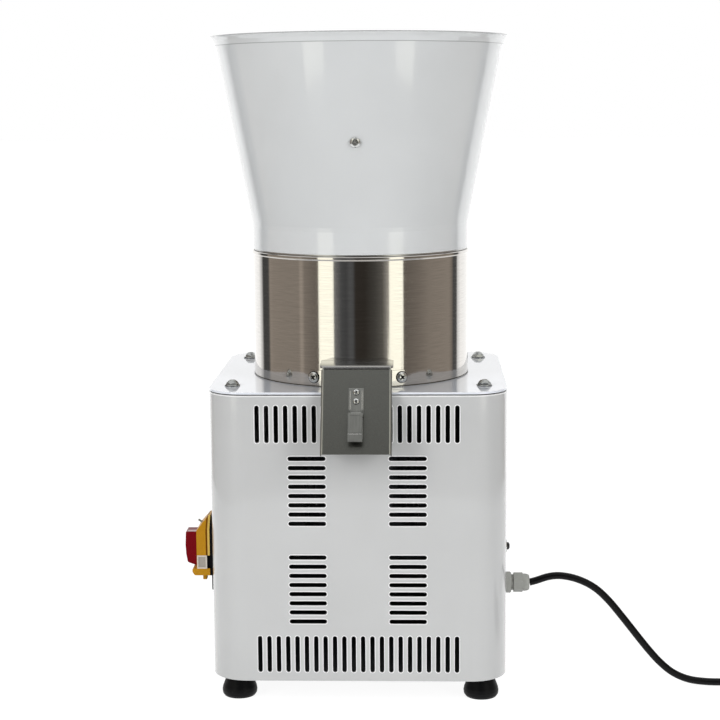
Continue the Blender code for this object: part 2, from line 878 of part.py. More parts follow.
def make_hopper_guard():
    """A slotted plate with a skirt that lies on the cone, where its three screws hold it."""
    top = hopper_base + guard_height
    inside = hopper_sheet * 1.02 + fit
    rim = hopper_radius(top) - inside
    foot = hopper_radius(top - guard_skirt) - inside
    level = Matrix.Translation((0, 0, top - guard_sheet / 2))
    guard = add("hopper_guard", outline_mesh("hopper_guard", guard_loops(rim - guard_sheet / 2),
                                             guard_sheet, level),
                (bright_steel, 0.3, 1.0), mill)
    crest = top + guard_sheet / 2
    skirt = ((rim - guard_sheet, crest), (hopper_radius(crest) - inside, crest), (foot, top - guard_skirt),
             (foot - guard_sheet, top - guard_skirt))
    join(guard, "guard_skirt", turned_mesh("guard_skirt", skirt, round_steps, closed=True))
    for i, place, direction in guard_screw_places():
        hole = rod_mesh("guard_hole", guard_screw_radius + fit, 4 * overrun, 8)
        cut(guard, "guard_hole", hole, place - direction * overrun * 3, aimed(direction))
    smooth(guard)


def make_guard_screws():
    """Three pan head screws through the cone into the guard's skirt."""
    profile = pan_head_profile(guard_screw_head, guard_screw_head_height, guard_screw_radius,
                               guard_screw_length)
    shared = turned_mesh("guard_screw", profile, screw_steps)
    shared.materials.append(finish("guard_screw", bright_steel, 0.25, 1.0))
    for i, place, direction in guard_screw_places():
        name = "guard_screw_" + ("front", "right", "left")[i]
        screw = add(name, shared, None, mill, place + direction * 2 * fit, aimed(direction))
        smooth(screw, math.radians(30))


def make_feed_plate():
    """The dished floor of the hopper, which lies on the drum's rim and lets the grain in."""
    top = feed_base + feed_sheet
    profile = ((feed_inlet_radius, top - feed_dish_depth - feed_collar),
               (feed_inlet_radius, top - feed_dish_depth), (feed_flat_radius, top),
               (hopper_skirt_radius - feed_sheet, top))
    plate = add("feed_plate", turned_sheet_mesh("feed_plate", profile, feed_sheet, round_steps),
                (bright_steel, 0.28, 1.0), mill)
    smooth(plate)


def make_sieve():
    """The sieve ring, with rows of holes, and the seat that carries it on three lugs."""
    outer = sieve_radius
    inner = sieve_radius - sieve_sheet
    profile = ((outer, sieve_top), (outer, sieve_base), (inner, sieve_base), (inner, sieve_top))
    sieve = add("sieve_ring", turned_mesh("sieve_ring", profile, sieve_holes_round * 2, closed=True),
                (steel, 0.3, 1.0), mill)
    height = sieve_top - sieve_base
    holes = []
    for row in range(sieve_hole_rows):
        z = sieve_base + height * (row + 0.5) / sieve_hole_rows
        for i in range(sieve_holes_round // 2):
            angle = 2 * math.pi * (2 * i + row % 2) / sieve_holes_round
            slot = outline_mesh("sieve_hole", (stadium(sieve_hole_height, sieve_hole_width, (0, 0), True),),
                                2 * overrun, across_y)
            slot.transform(Matrix.Translation((0, 0, z)) @ Matrix.Rotation(angle, 4, "Z")
                           @ Matrix.Translation((0, -sieve_radius, 0)))
            holes.append(slot)
    cut(sieve, "sieve_holes", joined("sieve_holes", holes))
    smooth(sieve)
    reach = drum_radius * math.cos(math.pi / round_steps) - drum_sheet - fit
    ring_outer = sieve_radius + sieve_seat_lip
    half = math.asin(sieve_lug_width / 2 / reach)
    outline = []
    for i in range(sieve_lugs):
        middle = math.pi / 2 + 2 * math.pi * i / sieve_lugs
        outline += arc((0, 0), reach, middle - half, middle + half, 3)
        outline += arc((0, 0), ring_outer, middle + half * 1.4,
                       middle + 2 * math.pi / sieve_lugs - half * 1.4, 7)
    level = Matrix.Translation((0, 0, sieve_seat_base + sieve_seat_sheet / 2))
    seat = add("sieve_seat", outline_mesh("sieve_seat", (outline, circle(sieve_radius - sieve_seat_lip,
                                                                         round_steps)),
                                          sieve_seat_sheet, level), (steel, 0.35, 1.0), mill)
    smooth(seat)


# What turns

def make_rotor_hub():
    """The hub on the shaft: a broad foot, a neck for the blade and a stub for its nut."""
    bore = shaft_radius + fit
    step = hub_top - hub_step
    profile = ((hub_radius, step), (hub_radius, hub_foot + hub_height * 0.2),
               (hub_flange_radius, hub_foot + hub_height * 0.12), (hub_flange_radius, hub_foot),
               (bore, hub_foot), (bore, step))
    add_turning("rotor_hub", turned_mesh("rotor_hub", profile, small_steps, closed=True),
                (steel, 0.3, 1.0))


def add_turning(name, mesh, look):
    """A piece that turns with the shaft. Its origin is on the shaft's axis."""
    piece = add(name, mesh, look, rotor_axis)
    smooth(piece)
    return piece


def make_blade():
    """The beater bar: two tapered ends with a raised tooth at each tip."""
    half = blade_length / 2
    tip = blade_width * blade_tip_share / 2
    root = blade_width / 2
    outline = ((half, -tip), (half, tip), (root, root), (-root, root), (-half, tip), (-half, -tip),
               (-root, -root), (root, -root))
    level = Matrix.Translation((0, 0, blade_base + blade_sheet / 2))
    bore = circle(shaft_radius + fit, small_steps)
    blade = add_turning("blade", outline_mesh("blade", (outline, bore),
                                              blade_sheet, level), (steel, 0.35, 1.0))
    top = blade_base + blade_sheet
    for side in (-1, 1):
        outer = side * half
        inner = side * (half - blade_sheet)
        join(blade, "blade_tooth", box_mesh("blade_tooth", (min(outer, inner), -tip,
                                                            blade_base + blade_sheet / 2),
                                            (max(outer, inner), tip, top + blade_tooth)))


def make_hub_nut():
    frame = Matrix.Translation((0, 0, nut_base))
    crown = 0.86
    profile = ((0, nut_height), (nut_radius * crown, nut_height), (nut_radius, nut_height * crown),
               (nut_radius, 0), (0, 0))
    nut = add_turning("hub_nut", turned_mesh("hub_nut", profile, 6, frame=frame), (bright_steel, 0.3, 1.0))
    cut(nut, "nut_bore", rod_mesh("nut_bore", shaft_radius + fit, nut_height + 2 * overrun, small_steps,
                                  base=nut_base - overrun))


def make_sweeper():
    """The sweeper under the hub: arms with upright vanes that push the flour to the outlet."""
    arms = sweeper_arms
    outline = []
    hub = hub_flange_radius
    half = math.asin(sweeper_arm / 2 / hub)
    tip = math.asin(sweeper_arm / 2 / sweeper_radius)
    for i in range(arms):
        middle = 2 * math.pi * i / arms
        outline += arc((0, 0), sweeper_radius, middle - tip, middle + tip, 2)
        outline += arc((0, 0), hub, middle + half, middle + 2 * math.pi / arms - half, 4)
    level = Matrix.Translation((0, 0, sweeper_base + sweeper_sheet / 2))
    sweeper = add_turning("sweeper", outline_mesh(
        "sweeper", (outline, circle(shaft_radius + fit, small_steps)), sweeper_sheet, level),
        (steel, 0.35, 1.0))
    for i in range(arms):
        vane = box_mesh("sweeper_vane", (hub * 1.5, -sweeper_sheet / 2, sweeper_base + sweeper_sheet / 2),
                        (sweeper_radius * 0.985, sweeper_sheet / 2, sweeper_base + sweeper_vane))
        join(sweeper, "sweeper_vane", vane, rotation=(0, 0, 2 * math.pi * i / arms))


def make_shaft():
    """The motor's shaft: its tail for the fan, two journals, and its end for the hub and nut."""
    end = nut_base + nut_height + fit
    bottom = fan_base - fan_sheet
    upper = motor_top - bearing_height
    lower = tail_base + bearing_height
    profile = ((0, end), (shaft_radius, end), (shaft_radius, motor_top), (shaft_journal_radius, motor_top),
               (shaft_journal_radius, upper), (shaft_core_radius, upper), (shaft_core_radius, lower),
               (shaft_journal_radius, lower), (shaft_journal_radius, tail_base),
               (shaft_tail_radius, tail_base), (shaft_tail_radius, bottom), (0, bottom))
    add_turning("motor_shaft", turned_mesh("motor_shaft", profile, small_steps), (bright_steel, 0.25, 1.0))


def make_rotor_core():
    half = rotor_core_height / 2
    outer = stator_inner_radius - running_gap
    bore = shaft_core_radius + fit
    profile = ((outer, half), (outer, -half), (bore, -half), (bore, half))
    add_turning("rotor_core", turned_mesh("rotor_core", profile, small_steps, closed=True,
                                          frame=Matrix.Translation((0, 0, motor_middle))),
                (dark_steel, 0.4, 1.0))


def make_fan():
    """The cooling fan on the tail of the shaft: a disc with upright blades round a hub."""
    bore = shaft_tail_radius + fit
    profile = ((fan_hub_radius, fan_height), (fan_hub_radius, fan_sheet), (fan_radius, fan_sheet),
               (fan_radius, 0), (bore, 0), (bore, fan_height))
    frame = Matrix.Translation((0, 0, fan_base))
    fan = add_turning("motor_fan", turned_mesh("motor_fan", profile, small_steps, closed=True, frame=frame),
                      (plastic_black, 0.5, 0.0))
    blade = joined("fan_blades", [
        moved(box_mesh("fan_blade", (fan_hub_radius * 0.9, -fan_blade_sheet / 2, fan_base + fan_sheet / 2),
                       (fan_radius * 0.98, fan_blade_sheet / 2, fan_base + fan_height)),
              Matrix.Rotation(2 * math.pi * i / fan_blades, 4, "Z")) for i in range(fan_blades)])
    join(fan, "fan_blades", blade)


def moved(mesh, frame):
    mesh.transform(frame)
    return mesh


# Motor

def make_motor_body():
    """The finned housing of the motor."""
    step = 2 * math.pi / motor_fin_count
    root = motor_radius - motor_fin
    outline = []
    for i in range(motor_fin_count):
        middle = step * i
        half = step * motor_fin_share / 2
        outline += [(radius * math.cos(middle + turn), radius * math.sin(middle + turn)) for radius,
                    turn in (
            (root + motor_fin * 0.25, -half * 1.2), (motor_radius + motor_fin * 0.25, -half * 0.7),
            (motor_radius + motor_fin * 0.25, half * 0.7), (root + motor_fin * 0.25, half * 1.2))]
    bore = circle(motor_bore - motor_fin * 0.5, inner_steps)
    level = Matrix.Translation((0, 0, motor_middle))
    body = add("motor_body", outline_mesh("motor_body", (outline, bore), motor_body_height, level),
               (cast_grey, 0.5, 0.4), mill)
    smooth(body, math.radians(20))


def make_motor_bells():
    """The flanged upper bell that bolts under the top plate, and the lower bell."""
    seat = bearing_radius + fit
    base = motor_body_top + fit
    hole = shaft_core_radius + running_gap
    upper = ((motor_flange_radius, motor_top), (motor_flange_radius, motor_top - motor_flange_sheet),
             (motor_radius, motor_top - motor_flange_sheet - motor_bell_sheet), (motor_radius, base),
             (motor_radius - motor_bell_sheet, base),
             (motor_radius - motor_bell_sheet, motor_top - motor_flange_sheet - motor_bell_sheet / 2),
             (seat + motor_bell_sheet, motor_top - motor_flange_sheet - motor_bell_sheet / 2),
             (seat + motor_bell_sheet, motor_top - bearing_height - motor_bell_sheet / 2),
             (hole, motor_top - bearing_height - motor_bell_sheet / 2),
             (hole, motor_top - bearing_height - fit), (seat, motor_top - bearing_height - fit),
             (seat, motor_top))
    bell = add("motor_bell_top", turned_mesh("motor_bell_top", upper, inner_steps, closed=True),
               (cast_grey, 0.45, 0.5), mill)
    smooth(bell)
    top = motor_body_base - fit
    floor = tail_base
    shelf = floor + bearing_height + fit
    lower = ((motor_radius, top), (motor_radius, floor + motor_bell_sheet * 2),
             (seat + motor_bell_sheet * 2, floor), (seat, floor), (seat, shelf), (hole, shelf),
             (hole, shelf + motor_bell_sheet / 2), (seat + motor_bell_sheet, shelf + motor_bell_sheet / 2),
             (motor_radius - motor_bell_sheet, floor + motor_bell_sheet * 3),
             (motor_radius - motor_bell_sheet, top))
    tail = add("motor_bell_bottom", turned_mesh("motor_bell_bottom", lower, inner_steps, closed=True),
               (cast_grey, 0.45, 0.5), mill)
    smooth(tail)


def make_bearings():
    """A ball bearing in each bell, in the seat between bell and journal."""
    inner = shaft_journal_radius + fit
    for name, base in (("bearing_top", motor_top - bearing_height), ("bearing_bottom", tail_base)):
        top = base + bearing_height - fit
        low = base + fit
        profile = ((bearing_radius, top), (bearing_radius, low), (inner, low), (inner, top))
        ring = add(name, turned_mesh(name, profile, small_steps, closed=True), (bright_steel, 0.2, 1.0),
                   mill)
        smooth(ring)


def make_stator():
    """The stator core, with a winding head above and below it."""
    half = stator_height / 2
    outer = motor_bore - motor_fin * 0.5 - fit
    inner = stator_inner_radius
    heads_outer = inner + (outer - inner) * winding_share
    head = half + winding_height
    slope = winding_height * 0.25
    profile = ((outer, half), (outer, -half), (heads_outer, -half), (heads_outer - slope, -head),
               (inner + slope * 1.5, -head), (inner, -half), (inner, half), (inner + slope * 1.5, head),
               (heads_outer - slope, head), (heads_outer, half))
    stator = add("stator_core", turned_mesh("stator_core", profile, inner_steps, closed=True,
                                            frame=Matrix.Translation((0, 0, motor_middle))),
                 (copper, 0.5, 0.6), mill)
    smooth(stator)


def make_fan_cover():
    """The sheet cowl over the fan, with a round grille of slots underneath."""
    radius = motor_radius + fit + fan_cover_sheet
    top = tail_base + motor_bell_sheet * 2 + fan_cover_lap
    base = top - fan_cover_height
    corner = fan_cover_sheet * 5
    profile = ((radius, top), (radius, base + corner), (radius - corner * 0.3, base + corner * 0.3),
               (radius - corner, base),
               (fan_cover_hub, base))
    cover = add("fan_cover", turned_sheet_mesh("fan_cover", profile, fan_cover_sheet, inner_steps),
                (cast_grey, 0.45, 0.5), mill)
    step = 2 * math.pi / fan_cover_slots
    inner = fan_cover_hub * 1.8
    outer = radius - corner * 2.4
    slots = []
    for i in range(fan_cover_slots):
        half = step * fan_cover_slot_share / 2
        loop = arc((0, 0), outer, step * i - half, step * i + half, 4) + arc((0, 0), inner, step * i + half,
                                                                            step * i - half, 3)
        slots.append(outline_mesh("cover_slot", (loop,), 2 * overrun, Matrix.Translation((0, 0, base))))
    cut(cover, "cover_slots", joined("cover_slots", slots))
    smooth(cover)


def make_capacitor():
    """The motor's capacitor, in a saddle on the side of its housing."""
    reach = motor_radius + motor_fin * 0.25 + fit
    y = reach + capacitor_saddle + capacitor_radius * 0.9
    frame = Matrix.Translation((0, y, motor_middle - capacitor_length / 2))
    rim = capacitor_radius * 0.93
    profile = ((0, capacitor_length), (rim, capacitor_length), (capacitor_radius, capacitor_length * 0.97),
               (capacitor_radius, capacitor_length * 0.02), (rim, 0), (0, 0))
    can = add("capacitor", turned_mesh("capacitor", profile, small_steps, frame=frame),
              (plastic_black, 0.45, 0.0), mill)
    half = capacitor_saddle_width / 2
    join(can, "capacitor_saddle", box_mesh("capacitor_saddle", (-half, reach, motor_middle - half),
                                           (half, y, motor_middle + half)))
    smooth(can)


# Flour chute, its cover and the bag clip

def chute_points():
    """The corners of the chute's side, as (y, z)."""
    top = drum_base + chute_top
    throat = front_y + chute_throat
    foot = cabinet_top - chute_drop
    return top, throat, foot


def make_chute_body():
    """The folded chute: side walls and a floor that leads from the outlet down over the edge."""
    top, throat, foot = chute_points()
    back = -drum_radius * 0.8
    lip = front_y - fit
    ledge = plate_top + fit
    side = ((back, ledge), (lip, ledge), (lip, foot), (-chute_front + cover_offset * 2, foot), (throat, top),
            (back, top))
    body = add("chute_body", outline_mesh("chute_body", (side,), chute_width, across_x), (steel, 0.3, 1.0),
               mill)
    inner = ((back + overrun, ledge + chute_sheet), (lip - chute_sheet, ledge + chute_sheet),
             (lip - chute_sheet, foot - overrun), (-chute_front - overrun * 2, foot - overrun),
             (-chute_front - overrun * 2, top - chute_sheet), (back + overrun, top - chute_sheet))
    brow = rounded_rectangle(chute_lip_width, -2 * (throat - chute_lip_overhang), chute_lip_corner, 4)
    brow = [(u, v) for u, v in brow if v < 0]
    brow += [(chute_lip_width / 2, back), (-chute_lip_width / 2, back)]
    join(body, "chute_lip", outline_mesh("chute_lip", (brow,), chute_lip_height + chute_sheet / 2,
                                         Matrix.Translation((0, 0,
                                                             top + chute_lip_height / 2 - chute_sheet / 4))))
    hollow = cut(body, "chute_drum", rod_mesh("chute_drum", drum_radius + fit, chute_top * 3, round_steps,
                                              base=drum_base - overrun))
    hollow.solver = "MANIFOLD"
    tab_inner = drum_radius + 1.5 * fit
    tab_outer = drum_radius + fit + chute_tab_sheet
    start = -math.pi / 2 - chute_tab_angle
    end = -math.pi / 2 + chute_tab_angle
    band = arc((0, 0), tab_outer, start, end, 9) + arc((0, 0), tab_inner, end, start, 9)
    tab_level = drum_base + chute_screw_height
    join(body, "chute_tabs", outline_mesh("chute_tabs", (band,), chute_tab_height,
                                          Matrix.Translation((0, 0, tab_level))))
    cut(body, "chute_inside", outline_mesh("chute_inside", (inner,), chute_width - 2 * chute_sheet,
                                           across_x))
    for sign in (-1, 1):
        direction = chute_screw_direction(sign)
        place = direction * (drum_radius - overrun) + Vector((0, 0, tab_level))
        cut(body, "chute_screw_hole", rod_mesh("chute_screw_hole", chute_screw_radius + fit, 3 * overrun, 8),
            place, aimed(direction))
    smooth(body, math.radians(20))


def make_chute_screws():
    """Two pan head screws that hold the chute's tabs to the drum."""
    profile = pan_head_profile(chute_screw_head, chute_screw_head_height, chute_screw_radius,
                               chute_screw_length)
    shared = turned_mesh("chute_screw", profile, screw_steps)
    shared.materials.append(finish("chute_screw", bright_steel, 0.25, 1.0))
    for name, sign in (("left", -1), ("right", 1)):
        direction = chute_screw_direction(sign)
        seat = (direction * (drum_radius + 2 * fit + chute_tab_sheet)
                + Vector((0, 0, drum_base + chute_screw_height)))
        screw = add("chute_screw_" + name, shared, None, mill, seat, aimed(direction))
        smooth(screw, math.radians(30))


def make_slope():
    """An empty at the top of the chute's slope: -Z runs down the slope and -Y stands out from it."""
    top, throat, foot = chute_points()
    lean = math.atan2(chute_front - cover_offset * 2 + throat, top - foot)
    slope = empty("chute_slope", (0, throat, top), mill)
    slope.rotation_euler = (-lean, 0, 0)
    return slope, math.hypot(chute_front - cover_offset * 2 + throat, top - foot)


def make_chute_cover():
    """The folded cover on the slope, with a flange down each side of the chute."""
    half = chute_width / 2 + fit + cover_sheet
    top = -chute_lip_height
    front = -(fit + cover_sheet)
    section = ((-half, cover_flange), (-half, front), (half, front), (half, cover_flange),
               (half - cover_sheet, cover_flange), (half - cover_sheet, -fit), (-half + cover_sheet, -fit),
               (-half + cover_sheet, cover_flange))
    length = slope_length + top
    level = Matrix.Translation((0, 0, top - length / 2))
    cover = add("chute_cover", outline_mesh("chute_cover", (section,), length, level),
                (dark_steel, 0.3, 1.0), slope)
    round_edges(cover, cover_round, 2)
    for z in rivet_heights():
        hole = rod_mesh("cover_rivet_hole", clip_shank_radius + fit, 4 * cover_sheet, screw_steps)
        cut(cover, "cover_rivet_hole", hole, (0, 2 * cover_sheet, z), aimed((0, -1, 0)))
    smooth(cover)


def rivet_heights():
    """How far down the slope the clip's rivets are, as heights in the slope's frame."""
    return [-clip_top - clip_rivet_margin - i * clip_rivet_spacing for i in range(2)]


def make_clip():
    """The spring clip for the flour bag: a riveted plate, a pin and a lever that swings out."""
    face = -(fit + cover_sheet)
    seat = face - fit
    front = seat - clip_sheet
    hinge_z = -clip_top - clip_plate_length - clip_knuckle_radius
    half = clip_width / 2
    plate = add("clip_base", box_mesh("clip_base", (-half, front, -clip_top - clip_plate_length),
                                      (half, seat, -clip_top)), (steel, 0.35, 1.0), slope)
    pin_y = seat - clip_pin_height
    for sign in (-1, 1):
        low = min(sign * half, sign * (half - clip_ear_width))
        ear = ((seat, hinge_z + clip_knuckle_radius * 2), (seat, hinge_z - clip_knuckle_radius),
               (pin_y, hinge_z - clip_knuckle_radius), (pin_y - clip_knuckle_radius, hinge_z),
               (pin_y, hinge_z + clip_knuckle_radius), (front, hinge_z + clip_knuckle_radius * 2))
        frame = Matrix.Translation((low + clip_ear_width / 2, 0, 0)) @ across_x
        join(plate, "clip_ear", outline_mesh("clip_ear", (ear,), clip_ear_width, frame))
    pin_frame = Matrix.Translation((-half - overrun, pin_y, hinge_z)) @ outward_right
    cut(plate, "clip_pin_hole", rod_mesh("clip_pin_hole", clip_pin_radius + fit / 2,
                                         clip_width + 2 * overrun,
                                         screw_steps, pin_frame))
    pin = add("clip_pin", rod_mesh("clip_pin", clip_pin_radius, clip_width, screw_steps,
                                   Matrix.Translation((-half, pin_y, hinge_z)) @ outward_right),
              (bright_steel, 0.25, 1.0), slope)
    smooth(pin)
    for name, z in zip(("upper", "lower"), rivet_heights()):
        hole = rod_mesh("plate_rivet_hole", clip_shank_radius + fit, 4 * clip_sheet, screw_steps)
        cut(plate, "plate_rivet_hole", hole, (0, front + 2 * clip_sheet, z), aimed((0, -1, 0)))
        shank = clip_sheet + cover_sheet + 2 * fit
        profile = ((0, clip_rivet_height), (clip_rivet_radius * 0.7, clip_rivet_height * 0.85),
                   (clip_rivet_radius, clip_rivet_height * 0.2), (clip_rivet_radius, 0),
                   (clip_shank_radius, 0),
                   (clip_shank_radius, -shank), (0, -shank))
        rivet = add("clip_rivet_" + name, turned_mesh("clip_rivet", profile, screw_steps),
                    (bright_steel, 0.3, 1.0), slope, (0, front - fit, z), aimed((0, -1, 0)))
        smooth(rivet)
    pivot = empty("clip_pivot", (0, pin_y, hinge_z), slope)
    inner_half = half - clip_ear_width - fit
    ring = [(v, u) for u, v in circle(clip_knuckle_radius, 16)]
    knuckle = add("clip_lever", outline_mesh("clip_lever", (ring, circle(clip_pin_radius + fit / 2,
                                                                         screw_steps)),
                                             2 * inner_half, across_x), (steel, 0.35, 1.0), pivot)
    front_face = -clip_knuckle_radius * 0.9
    sheet = clip_lever_sheet
    end = -clip_lever_length
    turn = -clip_step_length
    bend = ((front_face, -clip_knuckle_radius * 0.35), (front_face, turn),
            (front_face + clip_step_drop, turn - clip_step_drop),
            (front_face + clip_step_drop, end), (front_face + clip_step_drop + sheet, end),
            (front_face + clip_step_drop + sheet, turn - clip_step_drop * 1.4),
            (front_face + sheet, turn - clip_step_drop * 0.4), (front_face + sheet,
                                                                -clip_knuckle_radius * 0.35))
    lever = outline_mesh("lever_arm", (bend,), 2 * inner_half, across_x)
    join(knuckle, "lever_arm", lever)
    lip = (clip_width - 2 * inner_half) / 2
    join(knuckle, "lever_wings", outline_mesh("lever_wings", ((
        (front_face, -clip_knuckle_radius * 1.9), (front_face, turn), (front_face + sheet, turn),
        (front_face + sheet, -clip_knuckle_radius * 1.9)),), 2 * inner_half + 2 * lip, across_x))
    smooth(knuckle, math.radians(20))
    return pivot


# Switch

def switch_frame(reach=0, z=0):
    """A place on the left side of the cabinet, with +Z of the frame pointing outwards."""
    return Matrix.Translation((switch_side - reach, switch_y, switch_z + z)) @ outward_left


def side_box(name, half, reach, span):
    """A box on the left side: half its width, its reach outwards from and to, its heights."""
    return box_mesh(name, (switch_side - reach[1], switch_y - half, switch_z + span[0]),
                    (switch_side - reach[0], switch_y + half, switch_z + span[1]))


def make_switch_plate():
    outline = [(v, u) for u, v in rounded_rectangle(switch_plate_width, switch_plate_height,
                                                    switch_plate_sheet, 4, (0, -switch_plate_drop))]
    plate = add("switch_plate", outline_mesh("switch_plate", (outline,), switch_plate_sheet,
                                             switch_frame(fit + switch_plate_sheet / 2)),
                (plastic_black, 0.5, 0.0), mill)
    cut(plate, "plate_window", side_box("plate_window", switch_block_width / 2,
                                        (-overrun, switch_plate_sheet + overrun),
                                        (switch_block_bottom, switch_block_top)))
    smooth(plate)


def button_bores(name):
    return joined(name, [rod_mesh(name, button_radius + fit, pad_reach, small_steps,
                                  switch_frame(switch_plate_sheet, z)) for z in (start_button_z,
                                                                                 stop_button_z)])


def make_switch_base():
    """The black body of the switch, which runs back through the cabinet's side."""
    back = fit + switch_plate_sheet + fit
    base = add("switch_base", side_box("switch_base", switch_base_width / 2, (back, switch_base_reach),
                                       (switch_base_bottom, switch_base_top)), (plastic_black, 0.45, 0.0),
                                       mill)
    inside = switch_block_width / 2 - fit
    join(base, "base_back", side_box("base_back", inside, (-reset_body_depth, back + overrun / 4),
                                     (switch_block_bottom + fit, switch_block_top - fit)))
    hinge = outline_mesh("base_hinge", ([(v, u) for u, v in circle(switch_cover_wall, screw_steps)],),
                         2 * switch_hinge_half,
                         Matrix.Translation((switch_side - switch_hinge_reach, switch_y,
                                             switch_z + switch_hinge_height)) @ across_y)
    bracket = side_box("base_bracket", switch_hinge_half, (back, switch_hinge_reach - running_gap),
                       (switch_base_top - overrun / 4, switch_hinge_height))
    join(base, "base_bracket", bracket)
    join(base, "base_hinge", hinge)
    cut(base, "base_bores", button_bores("base_bores"))
    smooth(base)


def make_switch_block():
    """The grey front of the switch body, with a cheek on each side."""
    back = switch_base_reach + fit
    block = add("switch_block", side_box("switch_block", switch_block_width / 2, (back, switch_block_reach),
                                         (switch_block_bottom, switch_block_top)), (plastic_grey, 0.5,
                                                                                    0.0), mill)
    for sign in (-1, 1):
        outer = switch_block_width / 2
        middle = switch_y + sign * (outer - switch_cheek / 2)
        cheek = box_mesh("block_cheek",
                         (switch_side - switch_cheek_reach, middle - switch_cheek / 2,
                          switch_z + switch_block_bottom),
                         (switch_side - back, middle + switch_cheek / 2, switch_z + switch_cheek_top))
        join(block, "block_cheek", cheek)
    cut(block, "block_bores", button_bores("block_bores"))
    smooth(block)


def make_buttons():
    """The green start button and the red stop button under the cover."""
    length = button_reach - button_back
    crown = length * 0.12
    profile = ((0, length), (button_radius * 0.85, length), (button_radius, length - crown),
               (button_radius, 0),
               (0, 0))
    for name, z, colour in (("start_button", start_button_z, plastic_green),
                            ("stop_button", stop_button_z, plastic_red)):
        button = add(name, turned_mesh(name, profile, small_steps), (colour, 0.35, 0.0), mill,
                     (switch_side - button_back, switch_y, switch_z + z), (0, -math.pi / 2, 0))
        smooth(button)


def lean_in(piece, name, inset, shift):
    """Cuts both sides of a form of the cover so that they lean in above the base of the hip."""
    half = switch_cover_width / 2
    lean = (half - switch_hip_half) / (switch_cover_top - switch_hip_base)
    high = switch_cover_top + overrun
    outside = half + lean * overrun
    for sign in (-1, 1):
        wedge = [(sign * (y - inset * math.hypot(1, lean)), switch_z + z)
                 for y, z in ((outside, switch_hip_base - overrun), (outside, high),
                              (half - lean * (high - switch_hip_base), high))]
        cut(piece, name, outline_mesh(name, (wedge,), 2 * switch_cover_reach, shift
                                      @ Matrix.Translation((switch_side - switch_cover_reach, switch_y, 0))
                                      @ across_x))


def make_switch_cover(pivot):
    """The yellow cover on its hinge: open at the back, cut away for the stop pad and at its sides."""
    origin_x = switch_side - switch_hinge_reach
    origin_z = switch_z + switch_hinge_height
    shift = Matrix.Translation((-origin_x, -switch_y, -origin_z))

    def side(points):
        return [(switch_side - reach, switch_z + z) for reach, z in points]

    middle = Matrix.Translation((0, switch_y, 0))
    back = switch_cover_back
    wall = switch_cover_wall
    outer = ((back, switch_cover_top - wall), (switch_hinge_reach, switch_cover_top),
             (switch_hinge_reach + wall, switch_cover_top - wall * 0.4),
             (switch_cover_reach, switch_cover_shoulder), (switch_cover_reach, switch_lip_top),
             (switch_lip_reach, switch_lip_top), (switch_lip_reach,
                                                  (switch_lip_top + switch_lip_bottom) / 2),
             (switch_lip_reach - wall * 1.5, switch_lip_bottom), (back, switch_lip_bottom))
    cover = add("switch_cover", outline_mesh("switch_cover", (side(outer),), switch_cover_width,
                                             shift @ middle @ across_y), (plastic_yellow, 0.4, 0.0), pivot)
    lean_in(cover, "cover_hip", 0, shift)
    hollow = ((-overrun, switch_cover_top - wall * 2.4), (switch_hinge_reach, switch_cover_top - wall * 2.4),
              (switch_cover_reach - wall, switch_cover_shoulder - wall * 0.7),
              (switch_cover_reach - wall, switch_base_bottom + running_gap * 3),
              (switch_base_reach + running_gap, switch_base_bottom + running_gap * 3),
              (switch_base_reach + running_gap, switch_base_bottom - running_gap),
              (-overrun, switch_base_bottom - running_gap))
    return cover, side, middle, shift, hollow


def finish_switch_cover(cover, side, middle, shift, hollow):
    wall = switch_cover_wall
    inside = tool("cover_hollow", outline_mesh("cover_hollow", (side(hollow),),
                                               switch_cover_width - 2 * wall,
                                               shift @ middle @ across_y), cover.parent)
    lean_in(inside, "hollow_hip", wall, shift)
    combine(cover, "DIFFERENCE", inside)
    opening = box_mesh("cover_opening",
                       (switch_side - switch_cover_reach - overrun, switch_y - pad_width / 2 - fit,
                        switch_z + pad_bottom - fit),
                       (switch_side - switch_cover_reach + wall + running_gap, switch_y + pad_width / 2
                        + fit,
                        switch_z + pad_top + fit))
    opening.transform(shift)
    cut(cover, "cover_opening", opening)
    window = box_mesh("cover_window",
                      (switch_side - switch_cover_reach + wall, switch_y - switch_cover_width,
                       switch_z + switch_lip_top),
                      (switch_side + overrun, switch_y + switch_cover_width, switch_z + switch_window_top))
    window.transform(shift)
    cut(cover, "cover_window", window)
    nub = box_mesh("cover_nub",
                   (switch_side - switch_nub_reach, switch_y - switch_nub_width,
                    switch_z + switch_nub_bottom),
                   (switch_side - switch_nub_reach + switch_nub_width, switch_y + switch_nub_width,
                    switch_z + (switch_lip_top + switch_lip_bottom) / 2 - running_gap))
    nub.transform(shift)
    join(cover, "cover_nub", nub)
    half = switch_hinge_half + fit
    bore = rod_mesh("cover_bore", wall + fit, 2 * half, screw_steps,
                    Matrix.Translation((0, -half, 0)) @ Matrix.Rotation(-math.pi / 2, 4, "X"))
    cut(cover, "cover_bore", bore)
    cut(cover, "cover_slot", box_mesh("cover_slot", (0, -half, -3 * wall), (2 * switch_hinge_reach, half,
                                                                            3 * wall)))
    smooth(cover)


